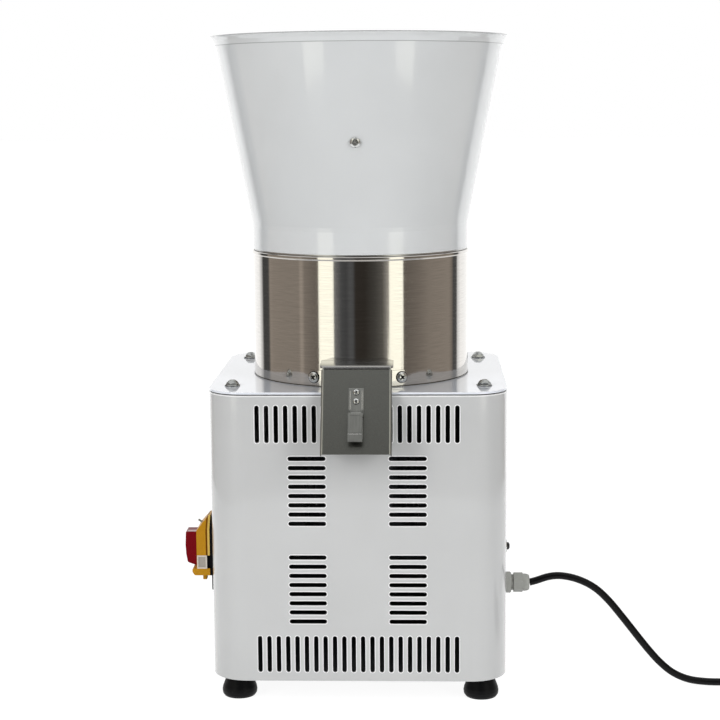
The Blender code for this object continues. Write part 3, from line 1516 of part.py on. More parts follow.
def make_stop_pad(pivot):
    """The red pad in the cover: bowed front, tapered foot, hollow, with a stem inside."""
    shift = Matrix.Translation((-(switch_side - switch_hinge_reach), -switch_y,
                                -(switch_z + switch_hinge_height)))
    middle = Matrix.Translation((0, switch_y, 0))
    height = pad_top - pad_bottom
    front = pad_reach
    bow_middle = pad_top - height * 0.38

    def side(points):
        return [(switch_side - reach, switch_z + z) for reach, z in points]

    outer = ((pad_back, pad_top), (front - pad_bow * 0.3, pad_top), (front, bow_middle),
             (front - pad_bow * 0.3, pad_top - height * 0.65),
             (front - pad_bow, pad_bottom + pad_chamfer), (front - pad_bow * 1.6,
                                                           pad_bottom + pad_chamfer * 0.8),
             (switch_cover_reach + running_gap, pad_bottom + running_gap),
             (switch_cover_reach + running_gap, pad_bottom), (pad_back, pad_bottom))
    pad = add("stop_pad", outline_mesh("stop_pad", (side(outer),), pad_width, shift @ middle @ across_y),
              (plastic_red, 0.3, 0.0), pivot)
    inner = ((pad_back - overrun, pad_top - pad_wall), (front - pad_wall * 1.4, pad_top - pad_wall),
             (front - pad_wall, bow_middle),
             (front - pad_bow - pad_wall * 2, pad_bottom + pad_chamfer + pad_wall * 0.6),
             (switch_cover_reach, pad_bottom + pad_wall), (pad_back - overrun, pad_bottom + pad_wall))
    cut(pad, "pad_hollow", outline_mesh("pad_hollow", (side(inner),), pad_width - 2 * pad_wall,
                                        shift @ middle @ across_y))
    stem_back = button_reach + fit
    stem = rod_mesh("pad_stem", pad_stem_radius, front - pad_bow - pad_wall * 1.4 - stem_back, screw_steps,
                    shift @ switch_frame(stem_back, stop_button_z))
    join(pad, "pad_stem", stem)
    smooth(pad)


# Right side

def right_frame(reach, y, z):
    """A place on the right side of the cabinet, with +Z of the frame pointing outwards."""
    return Matrix.Translation((side_x + reach, y, z)) @ outward_right


def make_reset():
    """The motor's reset: a body held by a nut, and its push button."""
    bore = reset_button_radius + fit
    nut = reset_nut_height
    back = -cabinet_sheet - fit
    floor = -reset_travel - running_gap * 4
    profile = ((bore, nut), (reset_nut_radius * 0.9, nut), (reset_nut_radius, nut * 0.7),
               (reset_nut_radius, fit),
               (reset_body_radius, fit), (reset_body_radius, back), (reset_case_radius, back),
               (reset_case_radius, -reset_body_depth), (0, -reset_body_depth), (0, floor), (bore, floor))
    body = add("reset_body", turned_mesh("reset_body", rotated_to_axis(profile), small_steps,
                                         frame=right_frame(0, reset_y, reset_z)), (plastic_black, 0.45,
                                                                                   0.0), mill)
    smooth(body)
    length = reset_button_reach - floor - reset_travel - fit
    crown = length * 0.15
    button_profile = ((0, length), (reset_button_radius * 0.75, length), (reset_button_radius,
                                                                          length - crown),
                      (reset_button_radius, 0), (0, 0))
    button = add("reset_button", turned_mesh("reset_button", button_profile, small_steps),
                 (plastic_black, 0.4, 0.0), mill, (side_x + reset_button_reach - length, reset_y, reset_z),
                 (0, math.pi / 2, 0))
    smooth(button)


def rotated_to_axis(profile):
    """A closed profile with two points on the axis, started at the upper of them."""
    start = max(range(len(profile)), key=lambda i: (profile[i][0] == 0, profile[i][1]))
    return profile[start:] + profile[:start]


def make_gland():
    """The cable gland: a hexagon body, a domed hexagon nut and a locknut inside the cabinet."""
    bore = gland_bore
    frame = right_frame(fit, gland_y, gland_z)
    hexagon = gland_hex_height
    neck = hexagon + gland_neck_height
    inside = -(cabinet_sheet + 2 * fit + gland_thread_length)
    hex_profile = ((bore, hexagon), (gland_hex_radius * 0.88, hexagon), (gland_hex_radius, hexagon * 0.85),
                   (gland_hex_radius, 0), (bore, 0))
    body = add("gland_body", turned_mesh("gland_body", hex_profile, 6, closed=True, frame=frame),
               (gland_grey, 0.5, 0.0), mill)
    thread = ((bore, neck), (gland_thread_radius, neck), (gland_thread_radius, inside), (bore, inside))
    join(body, "gland_thread", turned_mesh("gland_thread", thread, small_steps, closed=True, frame=frame))
    smooth(body, math.radians(30))
    base = neck
    top = base + gland_nut_height
    end = top + gland_dome_height
    nut_profile = ((bore, top), (gland_nut_radius * 0.9, top), (gland_nut_radius,
                                                                top - gland_nut_height * 0.12),
                   (gland_nut_radius, base + fit), (bore, base + fit))
    nut = add("gland_nut", turned_mesh("gland_nut", nut_profile, 6, closed=True, frame=frame),
              (gland_grey, 0.5, 0.0), mill)
    dome_start = gland_nut_radius * 0.84
    rise = gland_dome_height
    dome = ((bore, end), (gland_dome_radius * 0.92, end), (gland_dome_radius, end - rise * 0.1),
            (dome_start * 0.97, end - rise * 0.35), (dome_start, end - rise * 0.60),
            (dome_start, top - gland_nut_height * 0.2), (bore, top - gland_nut_height * 0.2))
    join(nut, "gland_dome", turned_mesh("gland_dome", dome, small_steps, closed=True, frame=frame))
    smooth(nut, math.radians(30))
    back = -(cabinet_sheet + 2 * fit)
    lock = ((0, back), (gland_locknut_radius, back), (gland_locknut_radius, back - gland_locknut_height),
            (0, back - gland_locknut_height))
    locknut = add("gland_locknut", turned_mesh("gland_locknut", lock, 6, frame=frame),
                  (gland_grey, 0.5, 0.0), mill)
    cut(locknut, "locknut_bore", rod_mesh("locknut_bore", gland_thread_radius + fit,
                                          gland_locknut_height + 2 * overrun, small_steps, frame,
                                          back - gland_locknut_height - overrun))
    smooth(locknut, math.radians(30))


# Power cord

def smooth_line(points, step):
    """Points at even steps on a smooth curve through a route's own points."""
    route = [Vector(p) for p in points]
    route = [2 * route[0] - route[1]] + route + [2 * route[-1] - route[-2]]
    line = []
    fine = 16
    for a, b, c, d in zip(route, route[1:], route[2:], route[3:]):
        for i in range(fine):
            t = i / fine
            line.append(0.5 * (2 * b + (c - a) * t + (2 * a - 5 * b + 4 * c - d) * t ** 2
                               + (3 * b - a - 3 * c + d) * t ** 3))
    line.append(route[-2])
    total = sum((q - p).length for p, q in zip(line, line[1:]))
    count = max(2, round(total / step))
    spaced = [line[0]]
    walked = 0
    target = total / count
    for p, q in zip(line, line[1:]):
        span = (q - p).length
        while walked + span >= target - weld and len(spaced) < count:
            spaced.append(p.lerp(q, (target - walked) / span))
            target += total / count
        walked += span
    spaced.append(line[-1])
    return spaced, total


def cord_points():
    """The cord's route in the frame of the mill's axis."""
    return [(gland_end + x, gland_y + y, z) for x, y, z in cord_route]


def coil_point(turn):
    """A point of the winding: in on the floor, a climb where it reverses, and out on top."""
    reverse = coil_turns_in + coil_turns_climb / 2
    radius = coil_outer_radius - coil_turn_pitch * (reverse - abs(turn - reverse))
    rise = min(1, max(0, (turn - coil_turns_in) / coil_turns_climb))
    height = rise * rise * (3 - 2 * rise) * coil_layer_pitch
    angle = 2 * math.pi * turn
    return Vector((gland_end + coil_centre_reach + radius * math.sin(angle),
                   cord_points()[-1][1] - coil_outer_radius + radius * math.cos(angle),
                   cord_route[-1][2] + height))


def coil_line():
    """The winding's centre line, with a straight end of one diameter at each end."""
    total = coil_turns_in + coil_turns_climb + coil_turns_out
    count = round(total * coil_points_per_turn)
    points = [coil_point(total * i / count) for i in range(count + 1)]
    lead = 2 * cord_radius
    start = points[0] - Vector((lead, 0, 0))
    direction = Vector((0, -math.cos(plug_tilt), math.sin(plug_tilt)))
    return [start] + points + [points[-1] + direction * lead], direction


def least_gap(points):
    """The least distance between two stretches of the winding, less its diameter."""
    fine = []
    for p, q in zip(points, points[1:]):
        fine += [p.lerp(q, i / 4) for i in range(4)]
    apart = 12 * cord_radius
    along = [0]
    for p, q in zip(fine, fine[1:]):
        along.append(along[-1] + (q - p).length)
    least = min((q - p).length for i, p in enumerate(fine) for j, q in enumerate(fine[i:], i)
                if along[j] - along[i] > apart)
    return least - 2 * cord_radius


def make_cord():
    points, length = smooth_line(cord_points(), 2 * cord_radius * cord_spacing)
    points[-1].x -= fit
    cord = add("power_cord", tube_mesh("power_cord", points, cord_radius, 2), (rubber_black, 0.5, 0.0), mill)
    smooth(cord)
    winding, direction = coil_line()
    coil = add("cord_coil", tube_mesh("cord_coil", winding, cord_radius, 1), (rubber_black, 0.5, 0.0), mill)
    smooth(coil, math.radians(65))
    wound = sum((q - p).length for p, q in zip(winding, winding[1:]))
    print("cord length", round(length + wound, 4), "m, least gap in the coil",
          round(least_gap(winding) * 1000, 2), "mm")
    return winding[-1], direction


def make_plug(end, direction):
    """The mains plug: a round body that tapers into its tail, and two pins."""
    tail = plug_tail_length
    whole = tail + plug_length
    profile = ((0, whole), (plug_radius * 0.95, whole), (plug_radius, whole - plug_length * 0.08),
               (plug_radius, tail + plug_length * 0.45), (plug_radius * 0.72, tail + plug_length * 0.08),
               (plug_tail_radius * 1.25, tail), (plug_tail_radius, tail * 0.6), (plug_tail_radius * 0.8, 0),
               (0, 0))
    place = end + direction * fit
    turn = aimed(direction)
    plug = add("plug", turned_mesh("plug", profile, small_steps), (rubber_black, 0.5, 0.0), mill, place,
               turn)
    pins = joined("plug_pins", [
        moved(rod_mesh("plug_pin", plug_pin_radius, plug_pin_length + overrun, screw_steps,
                       base=whole - overrun),
              Matrix.Translation((sign * plug_pin_spacing / 2, 0, 0))) for sign in (-1, 1)])
    join(plug, "plug_pins", pins, place, turn)
    smooth(plug)


clear_scene()
mill_parts = collection("grain_mill")
mill_cutters = collection("cutters")
mill = empty("mill_axis", (axis_x, axis_y, 0))
rotor_axis = empty("rotor_axis", (0, 0, 0), mill)
cover_hinge = empty("switch_cover_hinge",
                    (switch_side - switch_hinge_reach, switch_y, switch_z + switch_hinge_height), mill)
slope, slope_length = make_slope()

make_cabinet_shell()
make_top_plate()
make_base_plate()
make_feet()
make_plate_bolts()
make_drum()
make_hopper()
make_hopper_guard()
make_guard_screws()
make_feed_plate()
make_sieve()
make_rotor_hub()
make_blade()
make_hub_nut()
make_sweeper()
make_shaft()
make_rotor_core()
make_fan()
make_motor_body()
make_motor_bells()
make_bearings()
make_stator()
make_fan_cover()
make_capacitor()
make_chute_body()
make_chute_screws()
make_chute_cover()
make_clip()
make_switch_plate()
make_switch_base()
make_switch_block()
make_buttons()
finish_switch_cover(*make_switch_cover(cover_hinge))
make_stop_pad(cover_hinge)
make_reset()
make_gland()
cord_end, cord_direction = make_cord()
make_plug(cord_end, cord_direction)
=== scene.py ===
"""The looks of an electric grain mill, on the frame that its solids give.

Metres, +Z up. Every finished piece takes the place of the solids that it stands for, rides on their body,
and is modelled in the frame of the mill's axis: the origin is on the floor under the middle of the drum.
"""

import json
import math

import bmesh
import bpy
from mathutils import Matrix, Vector

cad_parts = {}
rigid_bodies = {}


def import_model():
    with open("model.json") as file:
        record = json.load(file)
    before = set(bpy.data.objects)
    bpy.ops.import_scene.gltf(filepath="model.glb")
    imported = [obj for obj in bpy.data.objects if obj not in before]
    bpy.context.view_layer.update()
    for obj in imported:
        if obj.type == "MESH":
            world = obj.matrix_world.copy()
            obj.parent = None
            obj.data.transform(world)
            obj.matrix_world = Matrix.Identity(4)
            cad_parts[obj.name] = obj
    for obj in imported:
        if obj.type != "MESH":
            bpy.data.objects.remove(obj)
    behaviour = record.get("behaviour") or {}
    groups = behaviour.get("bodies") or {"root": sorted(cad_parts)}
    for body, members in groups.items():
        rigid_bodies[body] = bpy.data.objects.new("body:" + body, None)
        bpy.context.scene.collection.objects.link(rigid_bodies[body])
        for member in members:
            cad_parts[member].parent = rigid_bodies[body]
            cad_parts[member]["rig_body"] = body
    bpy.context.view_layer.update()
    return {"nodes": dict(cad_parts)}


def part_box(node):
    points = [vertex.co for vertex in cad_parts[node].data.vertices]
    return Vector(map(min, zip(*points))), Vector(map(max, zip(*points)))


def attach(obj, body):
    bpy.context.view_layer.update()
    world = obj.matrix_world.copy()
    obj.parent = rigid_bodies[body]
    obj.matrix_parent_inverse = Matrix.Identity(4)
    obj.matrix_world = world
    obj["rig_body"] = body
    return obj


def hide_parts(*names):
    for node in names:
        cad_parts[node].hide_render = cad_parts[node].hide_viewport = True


# Camera, in the frame of the mill's axis
camera_place = (0.0691, -2.0129, 0.6701)
camera_yaw = math.radians(2.008)
camera_pitch = math.radians(8.457)
camera_roll = math.radians(-0.403)
camera_lens = 86.5
sensor_width = 36
camera_range = (0.01, 100)

# Studio: the room in reflections, the lamps, and the floor's values for light that falls and that is seen
room_reach = 1.98
room_foot = 0.02
room_height = 2.0
sweep_reach = 1.12
wall_step = 4
lamp_reach = 2.2
lamp_height = 1.0
lamp_bearing = math.radians(46)
lamp_target = (0, 0, 0.4)
front_lamp_size = (0.8, 1.4)
top_lamp_place = (0, -0.3, 2.8)
top_lamp_size = (2.0, 2.0)
key_power = 24
fill_power = 22
top_power = 8
ambient = 0.35
floor_half = 30
floor_sheet = 0.02
floor_shade = (0.80, 0.28)
floor_glow = (0.0, 0.92)

# Tints of the room
clean = (1.0, 1.0, 1.0)
warm = (1.0, 0.87, 0.75)
grey = (1.0, 0.95, 0.86)
cool = (1.0, 1.02, 1.06)
lit = (1.0, 0.985, 0.86)

# Sheet, clearances and the steps of round forms. Below, a pair for a round piece is its radius and length.
fit = 0.0003
weld = 0.000001
sheet = 0.0015
soft_edge = 0.0004
moulded_edge = 0.0009
fine_steps = 144
round_steps = 64
small_steps = 32
straight = math.radians(3)
fillet_share = 0.46
smooth_angle = 32.0

# Cabinet
cabinet_corner = 0.040
corner_steps = 20
vent_width = 0.0050
vent_length = 0.0418
vent_highlight_width = 0.0010
vent_columns = 22
vent_side_margin = 0.0558
vent_row_pitch = 0.01045
vent_rows = 8
vent_row_centres = (0.3226, 0.062)
vent_group_offset = 0.0555
vent_group_tops = (0.2842, 0.1728)
seam_highlight = 0.0011
seam_lift = 0.0016
seam_gap = 0.0008
plate_lift = 0.0010
flange_margin = 0.052
flange_corner = 0.009
flange_drop = 0.0011
bolt_inset_x = 0.0247
bolt_inset_y = 0.047
bolt_hole_radius = 0.0043
shaft_hole_radius = 0.034
bolt_across = 0.0075
bolt_height = 0.0047
bolt_recess = 0.0026
bolt_shank = (0.0039, 0.0154)
washer_sheet = 0.0014
washer_bore = 0.004
washer_crown = 0.0084
washer_radius = 0.0088
bolt_spins = {"front_left": 0.35, "front_right": 0.1, "back_left": 0.6, "back_right": 0.25}

# Feet
foot_crown = 0.0120
foot_sole = 0.0175
collar_radius = 0.0105
foot_stud = (0.004, 0.014)
foot_nut = (0.0075, 0.0060)
foot_nut_level = 0.0026

# Drum and hopper
drum_radius = 0.125
drum_flange = 0.014
drum_bead = 0.0016
drum_foot_shadow = 0.0010
drum_hole = (0.0028, 0.008)
drum_hole_level = 0.0128
outlet_half = 0.033
outlet_front_y = -0.134
outlet_levels = (0.003, 0.025)
skirt_radius = 0.1256
lip_width = 0.006
lip_depth = 0.0105
lip_shade_width = 0.0011
cone_foot = 0.027
cone_lean = 0.1942
guard_seat_z = 0.6283
guard_sheet = 0.002
guard_edge = 0.001
guard_rings = (0.027, 0.061, 0.095)
guard_slot_half = 0.009
guard_web = 0.00576
guard_screw = (0.0058, 0.0028)
guard_screw_hole = (0.0033, 0.008)
guard_screw_bearings = {"front": -90, "right": 30, "left": 150}

# Switch, as places on the left side. A reach is outwards from the cabinet's side, a level from switch_z.
switch_y = -0.072
switch_z = 0.1635
switch_plate_width = 0.050
switch_plate_height = 0.0862
switch_plate_drop = 0.0020
switch_plate_sheet = 0.0035
switch_base_half = 0.020
switch_base_reach = 0.0095
switch_base_top = 0.0250
switch_base_bottom = -0.029
switch_depth = 0.026
switch_block_half = 0.0185
switch_block_reach = 0.0150
switch_block_top = 0.020
switch_block_bottom = -0.0245
switch_cheek = 0.0026
switch_cheek_reach = 0.0187
switch_cheek_top = -0.0060
switch_hinge_reach = 0.0068
switch_hinge_level = 0.0385
switch_hinge_half = 0.0100
cover_half = 0.023
cover_wall = 0.0018
cover_room = 0.001
cover_back = 0.0043
cover_reach = 0.0212
cover_top = 0.0405
cover_shoulder = 0.0245
hip_base = 0.0255
hip_half = 0.0113
lip_reach = 0.0265
lip_top = -0.0200
lip_bottom = -0.0280
nub_reach = 0.0168
nub_width = 0.0046
nub_bottom = -0.0380
window_top = -0.0045
latch_half = 0.0030
latch_outline = ((0.0150, 0.0278), (0.0147, 0.0286), (0.0212, 0.0326), (0.0215, 0.0319))
frame_width = 0.0016
groove_reach = (0.0086, 0.0106)
groove_depth = 0.0006
seam_reach = 0.0062
pad_half = 0.01075
pad_top = 0.0203
pad_bottom = -0.0205
pad_reach = 0.0355
pad_back = 0.0200
pad_wall = 0.0022
pad_bow = 0.0022
pad_chamfer = 0.0056
pad_stem_radius = 0.0040
button_radius = 0.0060
button_reach = 0.0185
button_back = 0.0112
button_levels = {"start_button": 0.0045, "stop_button": -0.0110}

# Reset and gland, on the right side
reset_y = -0.072
reset_z = 0.165
reset_hole_radius = 0.0063
reset_bore = 0.0046
reset_ring_radius = 0.0082
reset_thread_radius = 0.0060
reset_body_radius = 0.0110
reset_floor = -0.0075
reset_end = -0.026
gland_y = -0.075
gland_z = 0.1229
gland_hole_radius = 0.0095
gland_bore = 0.005
gland_flange = (0.0126, 0.0076)
gland_nut_radius = 0.0117
gland_dome = (0.0099, 0.0076)
gland_lock = (0.0128, 0.005)
gland_thread_radius = 0.0092
gland_thread_end = 0.0098
gland_tail_end = -0.0121
seal_radii = (0.0043, 0.0060)
seal_depth = 0.003

# Chute
chute_width = 0.0742
chute_top = 0.3850
chute_back_y = -0.100
chute_throat_y = -0.1500
chute_foot_y = -0.1950
chute_foot_z = 0.2969
chute_sheet = 0.0015
cover_sheet = 0.0012
cover_flange = 0.0065
brow_width = 0.080
brow_corner = 0.005
brow_sheet = 0.003
brow_overhang = 0.0035
brow_roll = 0.0140
brow_edge = 0.0009
tab_sheet = 0.0017
tab_height = 0.0155
tab_bearings = (math.radians(16.9), math.radians(25.4))
tab_screw_bearing = math.radians(22.6)
tab_screw_level = 0.0116
tab_screw = (0.0060, 0.0027)
tab_screw_spin = 0.7

# Bag clip, on the chute's cover. Its heights are along the slope, from its top.
clip_width = 0.0163
clip_sheet = 0.0012
clip_top = -0.0252
clip_length = 0.0273
clip_ear = 0.0022
clip_knuckle = 0.0024
clip_groove_half = 0.0004
pin_reach = 0.0042
rivet = (0.0032, 0.0013)
rivet_spin = 0.6
rivet_drops = {"upper": 0.0043, "lower": 0.0146}
lever_sheet = 0.0015
lever_length = 0.0240
lever_end = 0.0325
lever_step = 0.0007
lever_aside = 0.0006

# Power cord: its route from the gland as (reach, height), and its coil, as in the source of the solids
cord_radius = 0.0042
gland_end = 0.1942
cord_route = (
    (0.0002, 0.1229), (0.0081, 0.1250), (0.0211, 0.1293), (0.0331, 0.1308), (0.0461, 0.1292),
    (0.0581, 0.1256), (0.0701, 0.1198), (0.0811, 0.1118), (0.0931, 0.0996), (0.1041, 0.0862),
    (0.1151, 0.0722), (0.1261, 0.0580), (0.1381, 0.0430), (0.1511, 0.0285), (0.1661, 0.0160),
    (0.1841, 0.0080), (0.2041, 0.0050), (0.2241, 0.0045), (0.2461, 0.0045), (0.2694, 0.0045),
)
cord_step = 0.004
route_steps = 24
coil_steps = 64
coil_centre_reach = 0.2781
coil_outer_radius = 0.0520
coil_turn_pitch = 0.0090
coil_layer_pitch = 0.0090
coil_turns_in = 2.0
coil_turns_climb = 0.5
coil_turns_out = 1.75
plug_tilt = math.radians(7.0)
plug_tail = 0.020
plug_body = 0.034
plug_radius = 0.0185
pin_radius = 0.0024
pin_length = 0.019
pin_offset = 0.0095

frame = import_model()
solid = frame["nodes"]
drum_low, drum_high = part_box("drum")
axis = Vector(((drum_low[0] + drum_high[0]) / 2, (drum_low[1] + drum_high[1]) / 2, 0))
mill = Matrix.Translation(axis)


def local_box(name):
    """The lowest and highest corner of a solid in the frame of the mill's axis."""
    low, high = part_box(name)
    return Vector(low) - axis, Vector(high) - axis


shell_low, shell_high = local_box("cabinet_shell")
plate_low, plate_high = local_box("top_plate")
cabinet_width = shell_high.x - shell_low.x
cabinet_depth = shell_high.y - shell_low.y
side_x = shell_high.x
front_y = shell_low.y
foot_height = shell_low.z
cabinet_top = shell_high.z
plate_top = plate_high.z
across_x = Matrix(((0, 0, 1, 0), (1, 0, 0, 0), (0, 1, 0, 0), (0, 0, 0, 1)))
across_y = Matrix(((1, 0, 0, 0), (0, 0, -1, 0), (0, 1, 0, 0), (0, 0, 0, 1)))


# Places

def both_ways(half):
    """The two ends of a span about zero."""
    return -half, half


def at(x=0.0, y=0.0, z=0.0):
    """A place that isn't turned."""
    return Matrix.Translation((x, y, z))


def turn_about(axis_name, angle):
    return Matrix.Rotation(angle, 4, axis_name)


outward_left = turn_about("Y", -math.pi / 2)
outward_right = turn_about("Y", math.pi / 2)


def over(name, z):
    """A place at a height, over the middle of a solid."""
    low, high = local_box(name)
    return at((low.x + high.x) / 2, (low.y + high.y) / 2, z)


def aimed(place, direction):
    """A place with its +Z along a direction."""
    return at(*place) @ Vector(direction).to_track_quat("Z", "Y").to_matrix().to_4x4()


# Meshes

def linked(name, data):
    made = bpy.data.objects.new(name, data)
    bpy.context.scene.collection.objects.link(made)
    return made


def welded(mesh):
    """Welds a mesh and turns its faces outwards."""
    work = bmesh.new()
    work.from_mesh(mesh)
    bmesh.ops.remove_doubles(work, verts=work.verts, dist=weld)
    bmesh.ops.recalc_face_normals(work, faces=work.faces)
    work.to_mesh(mesh)
    work.free()
    return mesh


def mesh_from(name, verts, faces):
    mesh = bpy.data.meshes.new(name)
    mesh.from_pydata([tuple(v) for v in verts], [], faces)
    return welded(mesh)


def evaluated(guide):
    """The mesh that a guide object gives with its modifiers. The guide is removed."""
    bpy.context.view_layer.update()
    mesh = bpy.data.meshes.new_from_object(guide.evaluated_get(bpy.context.evaluated_depsgraph_get()))
    mesh.name = guide.name
    bpy.data.objects.remove(guide, do_unlink=True)
    return welded(mesh)


def moved(mesh, place):
    mesh.transform(place)
    return mesh


def filleted(points, radius, count=5, closed=True):
    """An outline with its corners rounded. The radius is one length, or one for each corner."""
    total = len(points)
    radii = radius if hasattr(radius, "__len__") else [radius] * total
    result = []
    for i, corner in enumerate(points):
        corner = Vector(corner)
        before = Vector(points[i - 1]) - corner
        after = Vector(points[(i + 1) % total]) - corner
        turn = math.pi - before.angle(after, math.pi)
        if not closed and i in (0, total - 1) or radii[i] <= 0 or turn < straight:
            result.append(tuple(corner))
            continue
        reach = min(radii[i] * math.tan(turn / 2), fillet_share * before.length, fillet_share * after.length)
        start = corner + before.normalized() * reach
        end = corner + after.normalized() * reach
        for k in range(count + 1):
            t = k / count
            result.append(tuple(start * (1 - t) ** 2 + corner * 2 * t * (1 - t) + end * t ** 2))
    return result


def turned(name, profile, steps=round_steps, place=Matrix()):
    """A profile of (radius, height) points turned about +Z. It is open if it starts on the axis."""
    count = len(profile)
    sides = count if profile[0][0] > 0 else count - 1
    verts = []
    for i in range(steps):
        angle = 2 * math.pi * i / steps
        verts += [(r * math.cos(angle), r * math.sin(angle), z) for r, z in profile]
    faces = []
    for i in range(steps):
        here = i * count
        there = (i + 1) % steps * count
        for k in range(sides):
            nxt = (k + 1) % count
            faces.append((here + k, there + k, there + nxt, here + nxt))
    return moved(mesh_from(name, verts, faces), place)


def lathed(name, points, radius, steps=round_steps, place=Matrix(), count=5):
    """A turned profile with its corners rounded."""
    return turned(name, filleted(points, radius, count, points[0][0] > 0), steps, place)


def drawn(name, lines, closed, **settings):
    """The mesh of a curve through lines of points."""
    curve = bpy.data.curves.new(name, "CURVE")
    for setting, value in settings.items():
        setattr(curve, setting, value)
    for line in lines:
        spline = curve.splines.new("POLY")
        spline.points.add(len(line) - 1)
        for point, place in zip(spline.points, line):
            point.co = (*place, 1)
        spline.use_cyclic_u = closed
    return evaluated(linked(name, curve))


def outline(name, loops, thickness, place=Matrix()):
    """A flat outline, with holes for the loops after the first, as thick as asked about its plane."""
    loops = [[(u, v, 0) for u, v in loop] for loop in loops]
    return moved(drawn(name, loops, True, dimensions="2D", fill_mode="BOTH", extrude=thickness / 2), place)


def block(name, low, high):
    verts = [(x, y, z) for x in (low[0], high[0]) for y in (low[1], high[1]) for z in (low[2], high[2])]
    faces = [(0, 1, 3, 2), (4, 6, 7, 5), (0, 4, 5, 1), (2, 3, 7, 6), (0, 2, 6, 4), (1, 5, 7, 3)]
    return mesh_from(name, verts, faces)


def rod(name, radius, length, steps=small_steps, place=Matrix(), base=0.0):
    return turned(name, ((0, base + length), (radius, base + length), (radius, base), (0, base)),
                  steps, place)


def merged(name, meshes):
    """One mesh of several, with the looks of the first."""
    work = bmesh.new()
    for mesh in meshes:
        work.from_mesh(mesh)
    whole = bpy.data.meshes.new(name)
    work.to_mesh(whole)
    work.free()
    for look in meshes[0].materials:
        whole.materials.append(look)
    return whole


def combined(base, *cutters, within=None, solver="EXACT"):
    """What a mesh has within another, less its cutters."""
    piece = linked(base.name, base)
    steps = [("INTERSECT", within)] * bool(within) + [("DIFFERENCE", cutter) for cutter in cutters]
    tools = []
    for operation, mesh in steps:
        step = piece.modifiers.new(operation, "BOOLEAN")
        step.operation = operation
        step.solver = solver
        step.object = linked("tool", mesh)
        tools.append(step.object)
    result = evaluated(piece)
    for tool in tools:
        bpy.data.objects.remove(tool, do_unlink=True)
    return result


def bevelled(mesh, width=soft_edge, segments=2, angle=30, looks=()):
    """A mesh with its sharp edges rounded. Of two looks, the second is for the rounded edges."""
    for look in looks:
        mesh.materials.append(look)
    piece = linked(mesh.name, mesh)
    bevel = piece.modifiers.new("Rounded", "BEVEL")
    bevel.width = width
    bevel.segments = segments
    bevel.limit_method = "ANGLE"
    bevel.angle_limit = math.radians(angle)
    if looks:
        bevel.material = 1
    return evaluated(piece)


def arc(centre, radius, start, end, count):
    turn = (end - start) / (count - 1)
    return [(centre[0] + radius * math.cos(start + turn * i), centre[1] + radius * math.sin(start + turn * i))
            for i in range(count)]


def circle(radius, count, centre=(0, 0)):
    return arc(centre, radius, 0, 2 * math.pi * (count - 1) / count, count)


def rounded_rectangle(width, height, radius, count=10, centre=(0, 0)):
    points = []
    quarter = math.pi / 2
    for i, (sx, sy) in enumerate(((1, 1), (-1, 1), (-1, -1), (1, -1))):
        corner = (centre[0] + sx * (width / 2 - radius), centre[1] + sy * (height / 2 - radius))
        points += arc(corner, radius, i * quarter, (i + 1) * quarter, count)
    return points


def stadium(length, width, centre, upright, count=9):
    half = (length - width) / 2
    points = (arc((half, 0), width / 2, -math.pi / 2, math.pi / 2, count)
              + arc((-half, 0), width / 2, math.pi / 2, 3 * math.pi / 2, count))
    if upright:
        points = [(-v, u) for u, v in points]
    return [(centre[0] + u, centre[1] + v) for u, v in points]


def offset_inwards(points, distance):
    """A line moved to its right-hand side, seen along it."""
    result = []
    for i, point in enumerate(points):
        before = Vector(points[max(i - 1, 0)])
        after = Vector(points[min(i + 1, len(points) - 1)])
        along = (after - before).normalized()
        result.append(tuple(Vector(point) + Vector((along.y, -along.x)) * distance))
    return result


# Materials

def node(tree, kind, values=None, links=None, **settings):
    """A shader node with its settings, the values of its sockets and the sources linked to them."""
    made = tree.nodes.new("ShaderNode" + kind)
    for setting, value in settings.items():
        setattr(made, setting, value)
    for socket, value in (values or {}).items():
        made.inputs[socket].default_value = value
    for socket, source in (links or {}).items():
        tree.links.new(source, made.inputs[socket])
    return made


def inputs_of(made):
    """The sockets of a material's surface."""
    return made.node_tree.nodes["Principled BSDF"].inputs


def connect(made, source, socket):
    made.node_tree.links.new(source, inputs_of(made)[socket])


def material(name, colour, roughness, metallic=0.0, coat=0.0, specular=0.5):
    made = bpy.data.materials.new(name)
    made.use_nodes = True
    made.diffuse_color = (*colour, 1)
    values = {"Base Color": made.diffuse_color, "Roughness": roughness, "Metallic": metallic,
              "Coat Weight": coat, "Coat Roughness": 0.05, "Specular IOR Level": specular}
    for socket, value in values.items():
        inputs_of(made)[socket].default_value = value
    return made


def noise(made, scale, stretch=(1, 1, 1), detail=4.0):
    """Noise over the piece's own coordinates, in metres, stretched along its axes."""
    tree = made.node_tree
    place = node(tree, "TexCoord").outputs["Object"]
    mapping = node(tree, "Mapping", {"Scale": stretch}, {"Vector": place})
    return node(tree, "TexNoise", {"Scale": scale, "Detail": detail},
                {"Vector": mapping.outputs["Vector"]}).outputs["Fac"]


def shade(ramp, stops):
    """Sets the stops of a colour ramp, each a position and a colour."""
    elements = ramp.color_ramp.elements
    while len(elements) < len(stops):
        elements.new(0.5)
    for element, (position, colour) in zip(elements, stops):
        element.position = position
        element.color = (*colour, 1)


def vary_colour(made, texture, colour, dark, light):
    """Lets the colour wander between two shares of itself."""
    ramp = node(made.node_tree, "ValToRGB", links={"Fac": texture})
    shade(ramp, [(position, [min(1.0, c * share) for c in colour])
                 for position, share in ((0.35, dark), (0.65, light))])
    connect(made, ramp.outputs["Color"], "Base Color")


def vary_roughness(made, texture, low, high):
    span = node(made.node_tree, "MapRange",
                {"From Min": 0.3, "From Max": 0.7, "To Min": low, "To Max": high}, {"Value": texture})
    connect(made, span.outputs["Result"], "Roughness")


